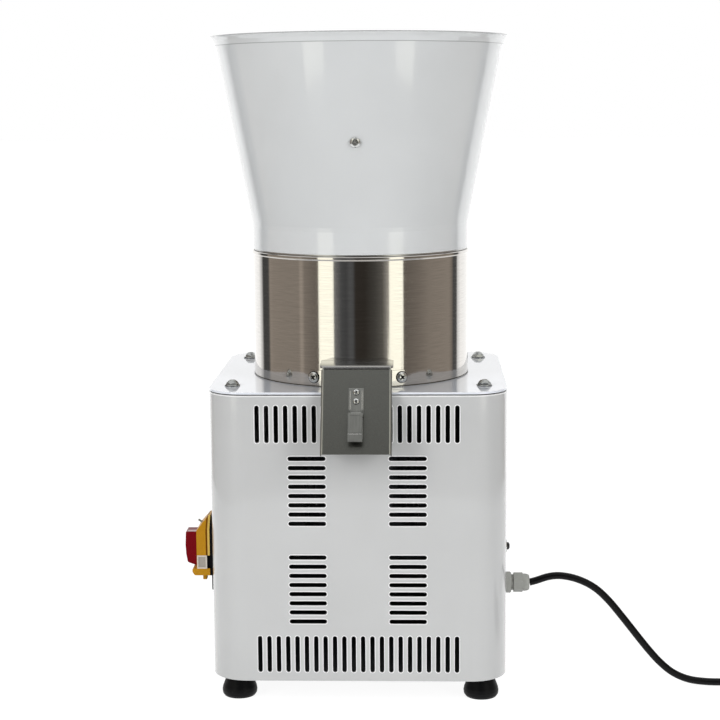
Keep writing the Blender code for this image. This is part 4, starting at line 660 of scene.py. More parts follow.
def bump(made, texture, height, strength=1.0):
    relief = node(made.node_tree, "Bump", {"Strength": strength, "Distance": height}, {"Height": texture})
    connect(made, relief.outputs["Normal"], "Normal")


def enamel(name, colour, roughness, waviness, coat):
    """Enamel: glossy, faintly uneven as sprayed paint is."""
    made = material(name, colour, roughness, coat=coat)
    vary_colour(made, noise(made, 9.0, detail=2.0), colour, 0.98, 1.02)
    bump(made, noise(made, 320.0, detail=1.0), waviness)
    return made


def brushed(name, colour, roughness, stretch, grain=900.0, relief=0.00001, spread=0.08):
    """Brushed metal: fine lines along the axis that the stretch leaves short of scale."""
    made = material(name, colour, roughness, 1.0)
    lines = noise(made, grain, stretch, 3.0)
    vary_colour(made, lines, colour, 0.90, 1.06)
    vary_roughness(made, lines, roughness - spread / 2, roughness + spread)
    bump(made, lines, relief, 0.5)
    return made


def plain_metal(name, colour, roughness, grain=600.0):
    made = material(name, colour, roughness, 1.0)
    speckle = noise(made, grain, detail=3.0)
    vary_roughness(made, speckle, roughness * 0.8, roughness * 1.3)
    bump(made, speckle, 0.000006, 0.5)
    return made


def moulded(name, colour, roughness, grain=1500.0, relief=0.00002, specular=0.5):
    """Moulded plastic or rubber with a fine even grain."""
    made = material(name, colour, roughness, specular=specular)
    skin = noise(made, grain, detail=2.0)
    vary_colour(made, skin, colour, 0.92, 1.05)
    bump(made, skin, relief, 0.6)
    return made


def paint_fold_highlights(made, colour):
    """Paints highlight on the folds of a sheet: what faces part of the way to a side in the piece's own
    coordinates.
    """
    tree = made.node_tree
    facing = node(tree, "TexCoord").outputs["Normal"]
    split = node(tree, "SeparateXYZ", links={"Vector": facing})
    size = node(tree, "Math", links={0: split.outputs["X"]}, operation="ABSOLUTE")
    ramp = node(tree, "ValToRGB", links={"Fac": size.outputs["Value"]})
    shade(ramp, [(position, [level] * 3) for position, level
                 in ((0.0, 0.0), (0.12, 0.0), (0.30, 1.0), (0.55, 0.8), (0.85, 0.15))])
    before = inputs_of(made)["Base Color"].links[0].from_socket
    mix = node(tree, "Mix", {"B": (*colour, 1)}, {"Factor": ramp.outputs["Color"], "A": before},
               data_type="RGBA")
    connect(made, mix.outputs["Result"], "Base Color")


around = (0.02, 0.02, 1.0)
hopper_enamel = enamel("hopper_enamel", (0.63, 0.645, 0.65), 0.12, 0.00001, 0.8)
# A darker enamel for painted shade lines on the hopper's lip.
lip_shade_enamel = enamel("lip_shade_enamel", (0.36, 0.37, 0.37), 0.20, 0.00001, 0.3)
cabinet_enamel = enamel("cabinet_enamel", (0.541, 0.547, 0.546), 0.24, 0.00002, 0.8)
# A lighter enamel for painted highlight on edges.
highlight_enamel = enamel("highlight_enamel", (0.86, 0.86, 0.86), 0.24, 0.00002, 0.35)
plate_enamel = enamel("plate_enamel", (0.78, 0.81, 0.87), 0.06, 0.00001, 0.4)
drum_steel = brushed("drum_steel", (0.64, 0.62, 0.59), 0.07, around, 2400.0, 0.000004, 0.03)
inner_steel = brushed("inner_steel", (0.60, 0.60, 0.59), 0.30, around, 500.0)
chute_steel = brushed("chute_steel", (0.52, 0.53, 0.52), 0.26, (1.0, 1.0, 0.04), 700.0)
brow_steel = brushed("brow_steel", (0.48, 0.48, 0.47), 0.12, (0.03, 1.0, 1.0), 900.0, 0.000004, 0.03)
inputs_of(brow_steel)["Metallic"].default_value = 0.9
cover_steel = brushed("cover_steel", (0.165, 0.168, 0.155), 0.34, (1.0, 1.0, 0.05), 1600.0, 0.000005, 0.03)
# Painted highlight on the cover's folds.
paint_fold_highlights(cover_steel, (0.50, 0.51, 0.48))
clip_steel = brushed("clip_steel", (0.29, 0.295, 0.28), 0.34, (1.0, 0.06, 0.06), 900.0)
# A bright steel for painted highlight on the clip's edges.
highlight_steel = plain_metal("highlight_steel", (0.72, 0.725, 0.70), 0.22)
# A dark steel for a painted shadow line.
foot_steel = plain_metal("foot_steel", (0.13, 0.125, 0.115), 0.35)
shadow_steel = plain_metal("shadow_steel", (0.015, 0.015, 0.015), 0.5)
zinc = plain_metal("zinc", (0.66, 0.67, 0.66), 0.24)
bolt_zinc = plain_metal("bolt_zinc", (0.40, 0.41, 0.40), 0.10)
cast_grey = moulded("cast_grey", (0.07, 0.073, 0.078), 0.5, 600.0, 0.00008)
shade_enamel = enamel("shade_enamel", (0.035, 0.035, 0.036), 0.40, 0.00002, 0.0)
copper_brown = moulded("copper_brown", (0.30, 0.12, 0.06), 0.45, 300.0, 0.0001)
lamination = brushed("lamination", (0.22, 0.22, 0.21), 0.45, around, 400.0)
black_rubber = moulded("black_rubber", (0.003, 0.003, 0.0035), 0.46, 900.0, 0.00004, 0.15)
black_plastic = moulded("black_plastic", (0.010, 0.010, 0.012), 0.40, specular=0.35)
grey_plastic = moulded("grey_plastic", (0.40, 0.40, 0.38), 0.45)
gland_plastic = moulded("gland_plastic", (0.37, 0.375, 0.35), 0.48)
black_matt = moulded("black_matt", (0.004, 0.004, 0.006), 0.60, specular=0.08)
yellow_plastic = moulded("yellow_plastic", (0.56, 0.265, 0.006), 0.40, specular=0.2)
# Lighter yellow for a painted highlight strip, darker yellow for painted shade in a groove.
yellow_highlight = moulded("yellow_highlight", (0.78, 0.52, 0.10), 0.35, specular=0.4)
yellow_shade = moulded("yellow_shade", (0.20, 0.070, 0.002), 0.50, specular=0.1)
window_grey = moulded("window_grey", (0.43, 0.39, 0.34), 0.45)
red_plastic = moulded("red_plastic", (0.20, 0.001, 0.006), 0.34, specular=0.08)
# A glossier red, lighter in colour as a painted highlight on the pad's top.
red_highlight = moulded("red_highlight", (0.30, 0.02, 0.03), 0.12, specular=1.0)
green_plastic = moulded("green_plastic", (0.015, 0.22, 0.06), 0.35)
pale_plastic = moulded("pale_plastic", (0.24, 0.25, 0.19), 0.42)
cream_plastic = moulded("cream_plastic", (0.74, 0.68, 0.60), 0.42)
black_sheath = moulded("black_sheath", (0.003, 0.003, 0.0034), 0.32, 700.0, 0.00003, 0.15)


# Placing pieces

def smoothed(mesh, look, angle):
    """Gives a mesh its look, and smooth shading up to an angle."""
    if look:
        mesh.materials.clear()
        mesh.materials.append(look)
    mesh.shade_smooth()
    mesh.set_sharp_from_angle(angle=math.radians(angle))


def trim(name, mesh, look, carrier, angle=smooth_angle, place=mill, replaced=()):
    """A finished piece that rides on the body of a solid. It takes the place of the solids replaced."""
    mesh.transform(place)
    smoothed(mesh, look, angle)
    piece = linked(name, mesh)
    piece.modifiers.new("Even", "WEIGHTED_NORMAL").keep_sharp = True
    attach(piece, solid[carrier]["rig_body"])
    if replaced:
        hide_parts(*replaced)
    return piece


def add(name, mesh, look, *nodes, angle=smooth_angle, place=mill):
    """A finished piece in the place of some solids: it rides on their body and hides them."""
    return trim(name, mesh, look, nodes[0], angle, place, nodes)


def dress(look, *nodes):
    """A look for solids that stay as they are."""
    for name in nodes:
        smoothed(solid[name].data, look, smooth_angle)


# Camera, light and stage

def make_camera():
    data = bpy.data.cameras.new("camera")
    data.lens = camera_lens
    data.sensor_width = sensor_width
    data.clip_start, data.clip_end = camera_range
    data.dof.use_dof = False
    camera = linked("camera", data)
    camera.matrix_world = (mill @ at(*camera_place) @ turn_about("Z", camera_yaw)
                           @ turn_about("X", math.pi / 2 - camera_pitch) @ turn_about("Z", camera_roll))
    bpy.context.scene.camera = camera


def seen_directly(tree):
    """1 for rays that show the background itself: from the camera, or in a mirror or glass."""
    path = node(tree, "LightPath").outputs
    either = node(tree, "Math", links={0: path["Is Camera Ray"], 1: path["Is Glossy Ray"]},
                  operation="MAXIMUM")
    both = node(tree, "Math", links={0: either.outputs[0], 1: path["Is Transmission Ray"]},
                operation="MAXIMUM")
    return both.outputs[0]


def by_ray(tree, direct, unseen, seen):
    """One value where light falls, another where the background is seen."""
    return node(tree, "MapRange", {"To Min": unseen, "To Max": seen}, {"Value": direct}).outputs["Result"]


def make_world():
    """White where it is seen, softer where it lights."""
    world = bpy.data.worlds.new("studio")
    bpy.context.scene.world = world
    world.use_nodes = True
    tree = world.node_tree
    sky = tree.nodes["Background"]
    sky.inputs["Color"].default_value = (1, 1, 1, 1)
    tree.links.new(by_ray(tree, seen_directly(tree), ambient, 1.0), sky.inputs["Strength"])


def make_floor():
    """A pale floor that keeps the mill's soft shadow."""
    floor = linked("floor", block("floor", (-floor_half, -floor_half, -floor_sheet),
                                  (floor_half, floor_half, 0)))
    look = bpy.data.materials.new("floor")
    look.use_nodes = True
    for socket, value in (("Roughness", 0.9), ("Specular IOR Level", 0.0), ("Emission Color", (1, 1, 1, 1))):
        inputs_of(look)[socket].default_value = value
    direct = seen_directly(look.node_tree)
    for socket, (unseen, seen) in (("Base Color", floor_shade), ("Emission Strength", floor_glow)):
        connect(look, by_ray(look.node_tree, direct, unseen, seen), socket)
    floor.data.materials.append(look)


def lamp(name, place, size, power):
    """A soft lamp, turned to the mill, that no reflection shows."""
    data = bpy.data.lights.new(name, "AREA")
    data.shape = "RECTANGLE"
    data.size, data.size_y = size
    data.energy = power
    light = linked(name, data)
    light.location = mill @ Vector(place)
    light.rotation_euler = (Vector(lamp_target) - Vector(place)).to_track_quat("-Z", "Y").to_euler()
    light.visible_glossy = False
    light.visible_camera = False


def make_lamps():
    for side, power in ((-1, key_power), (1, fill_power)):
        bearing = side * lamp_bearing + camera_yaw
        place = (lamp_reach * math.sin(bearing), -lamp_reach * math.cos(bearing), lamp_height)
        lamp("front_light", place, front_lamp_size, power)
    lamp("top_light", top_lamp_place, top_lamp_size, top_power)


def reflected(name, mesh):
    """A card seen only in reflections, that glows in the colours of its corners."""
    mesh.transform(mill)
    look = bpy.data.materials.new(name)
    look.use_nodes = True
    tree = look.node_tree
    tree.nodes.remove(tree.nodes["Principled BSDF"])
    shades = node(tree, "VertexColor", layer_name="glow")
    glow = node(tree, "Emission", links={"Color": shades.outputs["Color"]})
    tree.links.new(glow.outputs["Emission"], tree.nodes["Material Output"].inputs["Surface"])
    mesh.materials.append(look)
    card = linked(name, mesh)
    for ray in ("camera", "diffuse", "transmission", "shadow"):
        setattr(card, "visible_" + ray, False)


def round_wall(name, stops, inner, low, outer, high):
    """A curved strip round the studio between two radii and heights, shaded from stop to stop.

    A stop is a bearing in degrees from the front, a level of light and its tint.
    """
    verts = []
    shades = []
    for (here, level, tint), (there, next_level, next_tint) in zip(stops, stops[1:]):
        steps = max(1, round((there - here) / wall_step))
        for i in range(steps + 1):
            share = i / steps
            bearing = math.radians(here + (there - here) * share) + camera_yaw
            ahead = (math.sin(bearing), -math.cos(bearing))
            verts += [(inner * ahead[0], inner * ahead[1], low), (outer * ahead[0], outer * ahead[1], high)]
            mixed = [(level * a * (1 - share) + next_level * b * share) for a, b in zip(tint, next_tint)]
            shades += [(*mixed, 1.0)] * 2
    mesh = bpy.data.meshes.new(name)
    mesh.from_pydata(verts, [], [(i, i + 2, i + 3, i + 1) for i in range(0, len(verts) - 2, 2)])
    colours = mesh.color_attributes.new("glow", "FLOAT_COLOR", "POINT")
    for item, colour in zip(colours.data, shades):
        item.color = colour
    reflected(name, mesh)


def make_studio():
    """The room round the mill, as its bright steel and enamel show it."""
    walls = ((-180, 1.3, clean), (-136, 1.25, clean), (-128, 0.6, clean), (-125, 0.07, clean),
             (-113, 0.08, clean), (-110, 0.37, warm), (-104, 0.33, warm), (-67, 0.31, warm),
             (-65, 0.42, warm), (-63, 0.42, warm), (-60, 0.27, warm), (-46, 0.19, warm),
             (-43.9, 0.19, warm), (-43.9, 1.62, lit), (-27.8, 1.62, lit), (-27.8, 0.24, clean),
             (-20, 0.09, cool), (-15, 0.07, cool), (-11, 0.11, cool), (-8, 0.10, cool),
             (-5.5, 0.04, warm), (4, 0.038, warm), (14, 0.07, grey), (22, 0.13, grey),
             (28.9, 0.45, grey), (28.9, 1.62, lit), (43.9, 1.62, lit), (43.9, 0.16, warm),
             (60, 0.22, warm), (75, 0.30, warm), (105, 0.34, warm), (110, 0.25, warm),
             (113.5, 0.09, clean), (120, 0.10, clean), (123, 0.9, clean), (130, 1.25, clean),
             (180, 1.3, clean))
    ground = ((-180, 1.2, clean), (-133, 1.2, clean), (-133, 0.30, warm), (-60, 0.16, warm), (0, 0.14, warm),
              (60, 0.16, warm), (128, 0.30, warm), (128, 1.2, clean), (180, 1.2, clean))
    round_wall("room", walls, room_reach, room_foot, room_reach, room_height)
    round_wall("room_floor", ground, sweep_reach, room_foot, room_reach, room_foot)


# Cabinet

def vent_loops(rim=0.0):
    """The outlines of the vents, or of a rim about them."""
    long = vent_length + 2 * rim
    wide = vent_width + 2 * rim
    pitch = (cabinet_width - 2 * vent_side_margin) / (vent_columns - 1)
    first = -(vent_columns - 1) / 2 * pitch
    upright = [stadium(long, wide, (first + pitch * i, row), True)
               for row in vent_row_centres for i in range(vent_columns)]
    level = [stadium(long, wide, (side * vent_group_offset, top - vent_row_pitch * i), False)
             for side in (-1, 1) for top in vent_group_tops for i in range(vent_rows)]
    return upright + level


def cabinet_loop(inset):
    """The cabinet's rounded outline from above, moved inwards."""
    return rounded_rectangle(cabinet_width - 2 * inset, cabinet_depth - 2 * inset, cabinet_corner - inset,
                             corner_steps)


def bolt_holes():
    """The outlines of the holes for the four plate bolts."""
    return [circle(bolt_hole_radius, 16, (sx * (side_x - bolt_inset_x), sy * (-front_y - bolt_inset_y)))
            for sx in (-1, 1) for sy in (-1, 1)]


def make_cabinet():
    """The bent wall, painted highlight on its edges, round its vents and along its upper edge, and the flange
    inside its top.
    """
    height = cabinet_top + seam_lift - seam_gap - foot_height
    through = 4 * sheet
    wall = outline("cabinet", (cabinet_loop(0), cabinet_loop(sheet)), height, at(z=foot_height + height / 2))
    middle = at(y=front_y + sheet / 2) @ across_y
    slots = merged("slots", [outline("slot", (loop,), through, middle) for loop in vent_loops()])
    side, gland = [rod("hole", radius, through, place=at(side_x - through / 2, y, z) @ outward_right)
                   for radius, y, z in ((reset_hole_radius, reset_y, reset_z),
                                        (gland_hole_radius, gland_y, gland_z))]
    window = left_block("hole", both_ways(2 * sheet), both_ways(switch_block_half),
                        (switch_block_bottom, switch_block_top))
    # The wall's rounded edges are painted as highlight, and its inner faces as shade.
    wall = bevelled(combined(wall, slots, side, gland, window), 0.0006, 2, 50, (cabinet_enamel, highlight_enamel))
    wall.materials.append(shade_enamel)
    for face in wall.polygons:
        if min(abs(abs(face.center.x) - side_x + sheet), abs(abs(face.center.y) + front_y + sheet)) < weld:
            face.material_index = 2
    add("cabinet", wall, None, "cabinet_shell", angle=25)
    # Painted highlight rings round the vents.
    proud = at(y=front_y) @ across_y
    highlight_rings = [outline("rim", loops, fit, proud) for loops in zip(vent_loops(vent_highlight_width), vent_loops())]
    trim("vent_highlights", merged("highlight_rings", highlight_rings), highlight_enamel, "cabinet_shell")
    # A painted highlight band along the wall's upper edge.
    level = at(z=foot_height + height - soft_edge - seam_highlight / 2)
    seam = outline("seam_highlight", (cabinet_loop(-fit / 2), cabinet_loop(sheet / 2)), seam_highlight, level)
    trim("seam_highlight", seam, highlight_enamel, "cabinet_shell")
    inside = rounded_rectangle(cabinet_width - 1.5 * sheet, cabinet_depth - 1.5 * sheet,
                               cabinet_corner - sheet, corner_steps)
    opening = rounded_rectangle(cabinet_width - 2 * flange_margin, cabinet_depth - 2 * flange_margin,
                                flange_corner)
    level = at(z=cabinet_top - flange_drop - sheet / 2)
    flange = outline("flange", [inside, opening] + bolt_holes(), sheet, level)
    trim("cabinet_flange", flange, cabinet_enamel, "cabinet_shell")


def make_top_plate():
    """The plate on the cabinet, with the holes for its bolts and the motor's shaft."""
    low = plate_low.z + seam_lift
    high = plate_high.z + plate_lift
    loops = [cabinet_loop(0)] + bolt_holes() + [circle(shaft_hole_radius, 48)]
    plate = outline("top_plate", loops, high - low, at(z=(high + low) / 2))
    # The plate's rounded edges are painted as highlight.
    add("plate", bevelled(plate, 0.0009, 3, 50, (plate_enamel, highlight_enamel)), None, "top_plate", angle=25)


def make_feet():
    """Rubber feet, each with a zinc collar and a stud with its nut."""
    low, high = local_box("foot_front_left")
    radius = (high.x - low.x) / 2
    tall = foot_height
    neck = tall * 0.97
    rubber = [(0, neck), (foot_crown, neck), (radius * 0.965, tall * 0.34), (radius, tall * 0.22),
              (radius * 0.98, tall * 0.10), (foot_sole, 0), (0, 0)]
    rounding = [0, 0.0010, 0.003, 0.003, 0.003, 0.0015, 0]
    collar = [(0, tall), (collar_radius, tall), (collar_radius, neck), (0, neck)]
    for name in ("front_left", "front_right", "back_left", "back_right"):
        foot = "foot_" + name
        place = over(foot, 0)
        add("rubber_" + name, lathed("foot", rubber, rounding, place=place), black_rubber, foot)
        trim("collar_" + name, lathed("collar", collar, fit, small_steps, place), zinc, foot)
        stud = rod("stud", *foot_stud, place=place, base=tall)
        nut = bevelled(rod("nut", *foot_nut, 6, place, tall + foot_nut_level))
        trim("stud_" + name, merged("stud", (stud, nut)), zinc, foot)


def cross_tool(radius, depth, place):
    """A tapering cross recess, with its mouth just above zero and its tip below."""
    half = radius * 0.27
    plus = [(radius, half), (half, half), (half, radius), (-half, radius), (-half, half), (-radius, half),
            (-radius, -half), (-half, -half), (-half, -radius), (half, -radius), (half, -half),
            (radius, -half)]
    verts = [(x, y, depth * 0.15) for x, y in plus] + [(x * 0.45, y * 0.45, -depth) for x, y in plus]
    count = len(plus)
    faces = [tuple(range(count)), tuple(range(2 * count - 1, count - 1, -1))]
    faces += [(i, (i + 1) % count, (i + 1) % count + count, i + count) for i in range(count)]
    return moved(mesh_from("cross", verts, faces), place)


def hexagon_bolt(place, spin):
    """A hexagon bolt with a chamfered crown, a pressed collar and a cross recess."""
    across, low, tall = bolt_across, washer_sheet, bolt_height
    crown = low + tall
    head = rod("bolt", across, crown - low * 0.6, 6, turn_about("Z", spin), low * 0.6)
    cone = turned("bolt_cone", ((0, crown + 0.0002), (across * 0.50, crown + 0.0002),
                                (across * 0.80, low + tall * 0.60), (across * 1.04, low + tall * 0.10),
                                (across * 1.04, 0), (0, 0)), 48)
    dish = turned("bolt_dish", ((0, crown + 0.001), (across * 0.46, crown + 0.001),
                                (across * 0.40, crown - 0.0006), (0, crown - 0.0009)), 32)
    recess = cross_tool(across * 0.38, bolt_recess, at(z=crown - 0.0007) @ turn_about("Z", spin + 0.3))
    head = bevelled(combined(head, dish, recess, within=cone), 0.00025, 2, 35)
    washer = lathed("washer", [(washer_bore, low), (washer_crown, low), (washer_radius, low * 0.6),
                               (washer_radius, 0), (washer_bore, 0)], 0.0002, small_steps)
    shank = rod("shank", *bolt_shank, base=low - bolt_shank[1])
    return moved(merged("bolt", (head, washer, shank)), place)


def make_plate_bolts():
    for name, spin in bolt_spins.items():
        place = over("plate_bolt_" + name, plate_top + plate_lift + fit)
        add("bolt_" + name, hexagon_bolt(place, spin), bolt_zinc, "plate_bolt_" + name)


# Drum and hopper

def pan_screw(head, shank, place, spin):
    """A pan head screw with a cross recess: radius and height of its head, radius and length of its shank.

    Zero is the seat, and the head is above it.
    """
    radius, height = head
    profile = [(0, height), (radius * 0.62, height * 0.97), (radius, height * 0.52), (radius, 0), (0, 0)]
    crown = lathed("screw", profile, [0, height * 0.5, height * 0.4, 0.0002, 0], 40)
    recess = cross_tool(radius * 0.62, height * 0.85, at(z=height * 0.98) @ turn_about("Z", spin))
    stem = rod("stem", *shank, 24, base=-shank[1])
    return moved(merged("screw", (combined(crown, recess), stem)), place)


def screw_shade(head, place, spin):
    """Painted shade in the bottom of a screw's cross recess, and a painted shadow line where its head meets
    its seat.
    """
    radius, height = head
    cross = cross_tool(radius * 0.52, height * 0.40, at(z=height * 0.5) @ turn_about("Z", spin))
    ring = rod("ring", radius * 1.12, fit * 0.7, small_steps, base=-fit * 0.3)
    return moved(merged("shade", (cross, ring)), place)


def screw_directions():
    """Outwards from the drum at the chute's left and right screw."""
    return [Vector((side * math.sin(tab_screw_bearing), -math.cos(tab_screw_bearing), 0)) for side in (-1, 1)]


def make_drum():
    """The spun drum with its bead, its flange, its outlet and a painted shadow line at its foot."""
    low, high = local_box("drum")
    top = high.z
    base = low.z
    radius = drum_radius
    bead = drum_bead
    outer = [(radius - bead * 1.2, top), (radius + bead * 0.6, top), (radius + bead, top - bead * 0.5),
             (radius + bead, top - bead * 2), (radius + bead * 0.3, top - bead * 2.5),
             (radius, top - bead * 2.875), (radius, base), (radius - drum_flange, base)]
    inner = [(radius - drum_flange, base + sheet), (radius - sheet, base + sheet),
             (radius - sheet, top - sheet), (radius - bead * 1.2, top - sheet)]
    radii = [0.0003, 0.0008, 0.0006, 0.0006, 0.0004, 0.0005, 0.0012, 0.0003, 0.0003, 0.0003, 0.0003, 0.0003]
    drum = lathed("drum", outer + inner, radii, fine_steps, count=4)
    outlet = block("outlet", (-outlet_half, outlet_front_y, base + outlet_levels[0]),
                   (outlet_half, chute_back_y, base + outlet_levels[1]))
    holes = [rod("hole", *drum_hole, 16, aimed(direction * (radius - drum_hole[1] / 2)
                                               + Vector((0, 0, base + drum_hole_level)), direction))
             for direction in screw_directions()]
    add("drum_wall", combined(drum, outlet, *holes), drum_steel, "drum", angle=40)
    # A painted shadow line where the drum meets the plate.
    level = plate_high.z + plate_lift + fit
    foot = [(radius - sheet, level), (radius + soft_edge, level),
            (radius + soft_edge, level + drum_foot_shadow), (radius - sheet, level + drum_foot_shadow)]
    trim("drum_foot_shadow", turned("foot_line", foot, fine_steps), foot_steel, "drum")


def hopper_outline():
    """The outer side of the hopper from its lip down to its skirt, with the radius of each corner."""
    low, high = local_box("hopper")
    rim = (high.x - low.x) / 2
    top = high.z
    base = low.z
    skirt = skirt_radius
    wall = rim - lip_width
    points = [(rim - 0.0007, top), (rim, top - 0.0007), (rim - 0.0004, top - 0.0022),
              (wall + 0.0030, top - 0.0055), (wall + 0.0004, top - lip_depth),
              (skirt + 0.0005, base + 0.0294), (skirt, base + 0.0246), (skirt, base)]
    return points, [0.0004, 0.0005, 0.0010, 0.0060, 0.0030, 0.004, 0.004, 0.0]


def make_hopper():
    """The enamelled bowl, with painted shade lines on top of its lip and under it."""
    points, radii = hopper_outline()
    outer = filleted(points, radii, 6, closed=False)
    bowl = turned("hopper", outer + offset_inwards(outer, sheet)[::-1], fine_steps)
    bowl = combined(bowl, *[rod("hole", *guard_screw_hole, 20,
                                aimed(place - direction * guard_screw_hole[1] / 2, direction))
                            for place, direction in guard_screws()])
    bowl.materials.append(hopper_enamel)
    bowl.materials.append(lip_shade_enamel)
    # Painted shade: a darker line on top of the lip and one under it.
    rim, top = points[1][0], points[0][1]
    under = points[4]
    for face in bowl.polygons:
        radius = math.hypot(face.center.x, face.center.y)
        on_top = face.center.z > top - lip_shade_width and radius > rim - lip_shade_width
        if on_top or (abs(face.center.z - under[1]) < lip_shade_width / 2 and radius > under[0] - sheet / 2):
            face.material_index = 1
    add("hopper_bowl", bowl, None, "hopper", angle=40)


def guard_screws():
    """The seat and outward direction of each of the guard's screws."""
    low, high = local_box("hopper")
    share = (guard_seat_z - low.z - cone_foot) / (high.z - lip_depth - low.z - cone_foot)
    radius = skirt_radius + share * (high.x - lip_width - skirt_radius)
    places = []
    for bearing in guard_screw_bearings.values():
        angle = math.radians(bearing)
        outward = Vector((math.cos(angle), math.sin(angle), 0))
        places.append((outward * radius + Vector((0, 0, guard_seat_z)),
                       (outward - Vector((0, 0, cone_lean))).normalized()))
    return places


def make_guard():
    """The guard in the hopper: rings of curved slots in a disc, and a skirt that follows the cone."""
    low, high = local_box("hopper_guard")
    top = high.z
    rim = (high.x - low.x) / 2
    thick, edge = guard_sheet, guard_edge
    quarter = math.pi / 2
    slots = []
    for ring, middle in enumerate(guard_rings):
        web = quarter * guard_web / middle
        for i in range(4):
            start = quarter * (i + (ring % 2) / 2) + web / 2
            end = quarter * (i + 1 + (ring % 2) / 2) - web / 2
            count = 8 + 6 * ring
            slots.append(filleted(arc((0, 0), middle + guard_slot_half, start, end, count)
                                  + arc((0, 0), middle - guard_slot_half, end, start, count), 0.004, 3))
    disc = outline("guard", [circle(rim - 0.0035, fine_steps)] + slots, thick, at(z=top - edge - thick / 2))
    foot = rim - 0.0041
    skirt = lathed("skirt", [(rim - 0.0037, top - edge), (rim - 0.0002, top - 0.0006), (foot, low.z),
                             (foot - thick, low.z)], soft_edge, fine_steps)
    add("guard_plate", merged("guard", (bevelled(disc, 0.0003, 2, 50), skirt)), inner_steel, "hopper_guard")


def make_guard_screws():
    for name, (place, direction) in zip(guard_screw_bearings, guard_screws()):
        screw = pan_screw(guard_screw, (0.003, 0.010), aimed(place + direction * 2 * fit, direction), 0.5)
        add("hopper_screw_" + name, screw, zinc, "guard_screw_" + name)


def make_feed_plate():
    """The dished floor between hopper and drum, with the feed opening in its middle."""
    low, high = local_box("feed_plate")
    top = high.z
    bore, dish_radius, dish_depth = 0.034, 0.096, 0.014
    line = [(bore, low.z), (bore, top - dish_depth), (dish_radius, top), ((high.x - low.x) / 2, top)]
    upper = filleted(line, [0, 0.003, 0.006, 0], closed=False)
    profile = upper + offset_inwards(upper, sheet)[::-1]
    add("feed_floor", turned("feed", profile, fine_steps), inner_steel, "feed_plate")


# Chute

def slope_frame():
    """At the top of the chute's slope: -Z runs down the slope and -Y stands out from it."""
    lean = math.atan2(chute_throat_y - chute_foot_y, chute_top - chute_foot_z)
    return at(y=chute_throat_y, z=chute_top) @ turn_about("X", -lean)


def drum_core():
    """The room of the drum, which the sheets that end at its wall are cut with."""
    return rod("drum", drum_radius + fit, 0.080, fine_steps, base=plate_top - 0.004)


def make_chute_box():
    """The folded tray, open below its slope and towards the drum."""
    floor = plate_top + fit
    lip = front_y - fit
    below = chute_foot_z - 0.01
    beyond = chute_foot_y - 0.03
    back = chute_back_y + 0.004
    side = [(chute_back_y, floor), (lip, floor), (lip, chute_foot_z), (chute_foot_y, chute_foot_z),
            (chute_throat_y, chute_top), (chute_back_y, chute_top)]
    hollow = [(back, floor + chute_sheet), (lip - chute_sheet, floor + chute_sheet),
              (lip - chute_sheet, below), (beyond, below), (beyond, chute_top - chute_sheet),
              (back, chute_top - chute_sheet)]
    body = combined(outline("chute", (side,), chute_width, across_x),
                    outline("inside", (hollow,), chute_width - 2 * chute_sheet, across_x))
    body = combined(body, drum_core(), solver="MANIFOLD")
    add("chute_box", bevelled(body, soft_edge, 2, 40), chute_steel, "chute_body", angle=25)


def make_brow():
    """The lid of the tray, rolled over at its front."""
    front = -chute_throat_y + brow_overhang
    high = chute_top + brow_sheet
    low = chute_top - brow_edge
    plan = [(u, v) for u, v in rounded_rectangle(brow_width, 2 * front, brow_corner) if v < 0]
    plan += [(brow_width / 2, chute_back_y), (-brow_width / 2, chute_back_y)]
    side = [(-front + brow_roll * (1 + u), chute_top + brow_sheet * v)
            for u, v in arc((0, 0), 1, math.pi / 2, math.pi, 12)]
    side += [(-front, low), (chute_back_y, low), (chute_back_y, high)]
    brow = combined(outline("brow", (plan,), 2 * brow_sheet, at(z=chute_top)),
                    within=outline("roll", (side,), 2 * brow_width, across_x))
    brow = combined(bevelled(brow, soft_edge, 2, 50), drum_core(), solver="MANIFOLD")
    trim("chute_brow", brow, brow_steel, "chute_body", angle=25)


def make_chute_tabs():
    """The tabs that follow the drum, and their screws."""
    level = plate_top + fit + tab_screw_level
    inner = drum_radius + 1.5 * fit
    outer = drum_radius + fit + tab_sheet
    for sign in (-1, 1):
        start, end = [-math.pi / 2 + sign * bearing for bearing in tab_bearings]
        band = arc((0, 0), outer, start, end, 14) + arc((0, 0), inner, end, start, 14)
        tab = outline("tab", (band,), tab_height, at(z=level))
        trim("chute_tab", bevelled(tab, soft_edge, 2, 50), drum_steel, "chute_body", angle=25)
    for name, direction in zip(("left", "right"), screw_directions()):
        place = aimed(direction * (outer + fit) + Vector((0, 0, level)), direction)
        add("tab_screw_" + name, pan_screw(tab_screw, (0.0025, 0.008), place, tab_screw_spin), zinc,
            "chute_screw_" + name)
        trim("tab_screw_shade_" + name, screw_shade(tab_screw, place, tab_screw_spin), shadow_steel,
             "chute_screw_" + name)


def make_chute_cover():
    """The folded cover: one sheet bent down both sides of the chute."""
    inner = chute_width / 2 + fit
    half = inner + cover_sheet
    front = -(fit + cover_sheet)
    section = [(-half, cover_flange), (-half, front), (half, front), (half, cover_flange),
               (inner, cover_flange), (inner, -fit), (-inner, -fit), (-inner, cover_flange)]
    section = filleted(section, [0.0003, 0.0036, 0.0036, 0.0003, 0.0003, 0.0022, 0.0022, 0.0003], 8)
    start = -0.003
    run = math.hypot(chute_throat_y - chute_foot_y, chute_top - chute_foot_z) + start
    cover = outline("cover", (section,), run, at(z=start - run / 2))
    add("cover", bevelled(cover, 0.0003, 2, 60), cover_steel, "chute_cover", place=mill @ slope_frame())


# Bag clip, in the frame of the chute's slope

clip_slope = mill @ slope_frame()
clip_face = -(fit + cover_sheet) - fit
clip_front = clip_face - clip_sheet
clip_half = clip_width / 2
clip_foot = clip_top - clip_length
hinge_z = clip_foot - clip_knuckle
pin_y = clip_face - pin_reach


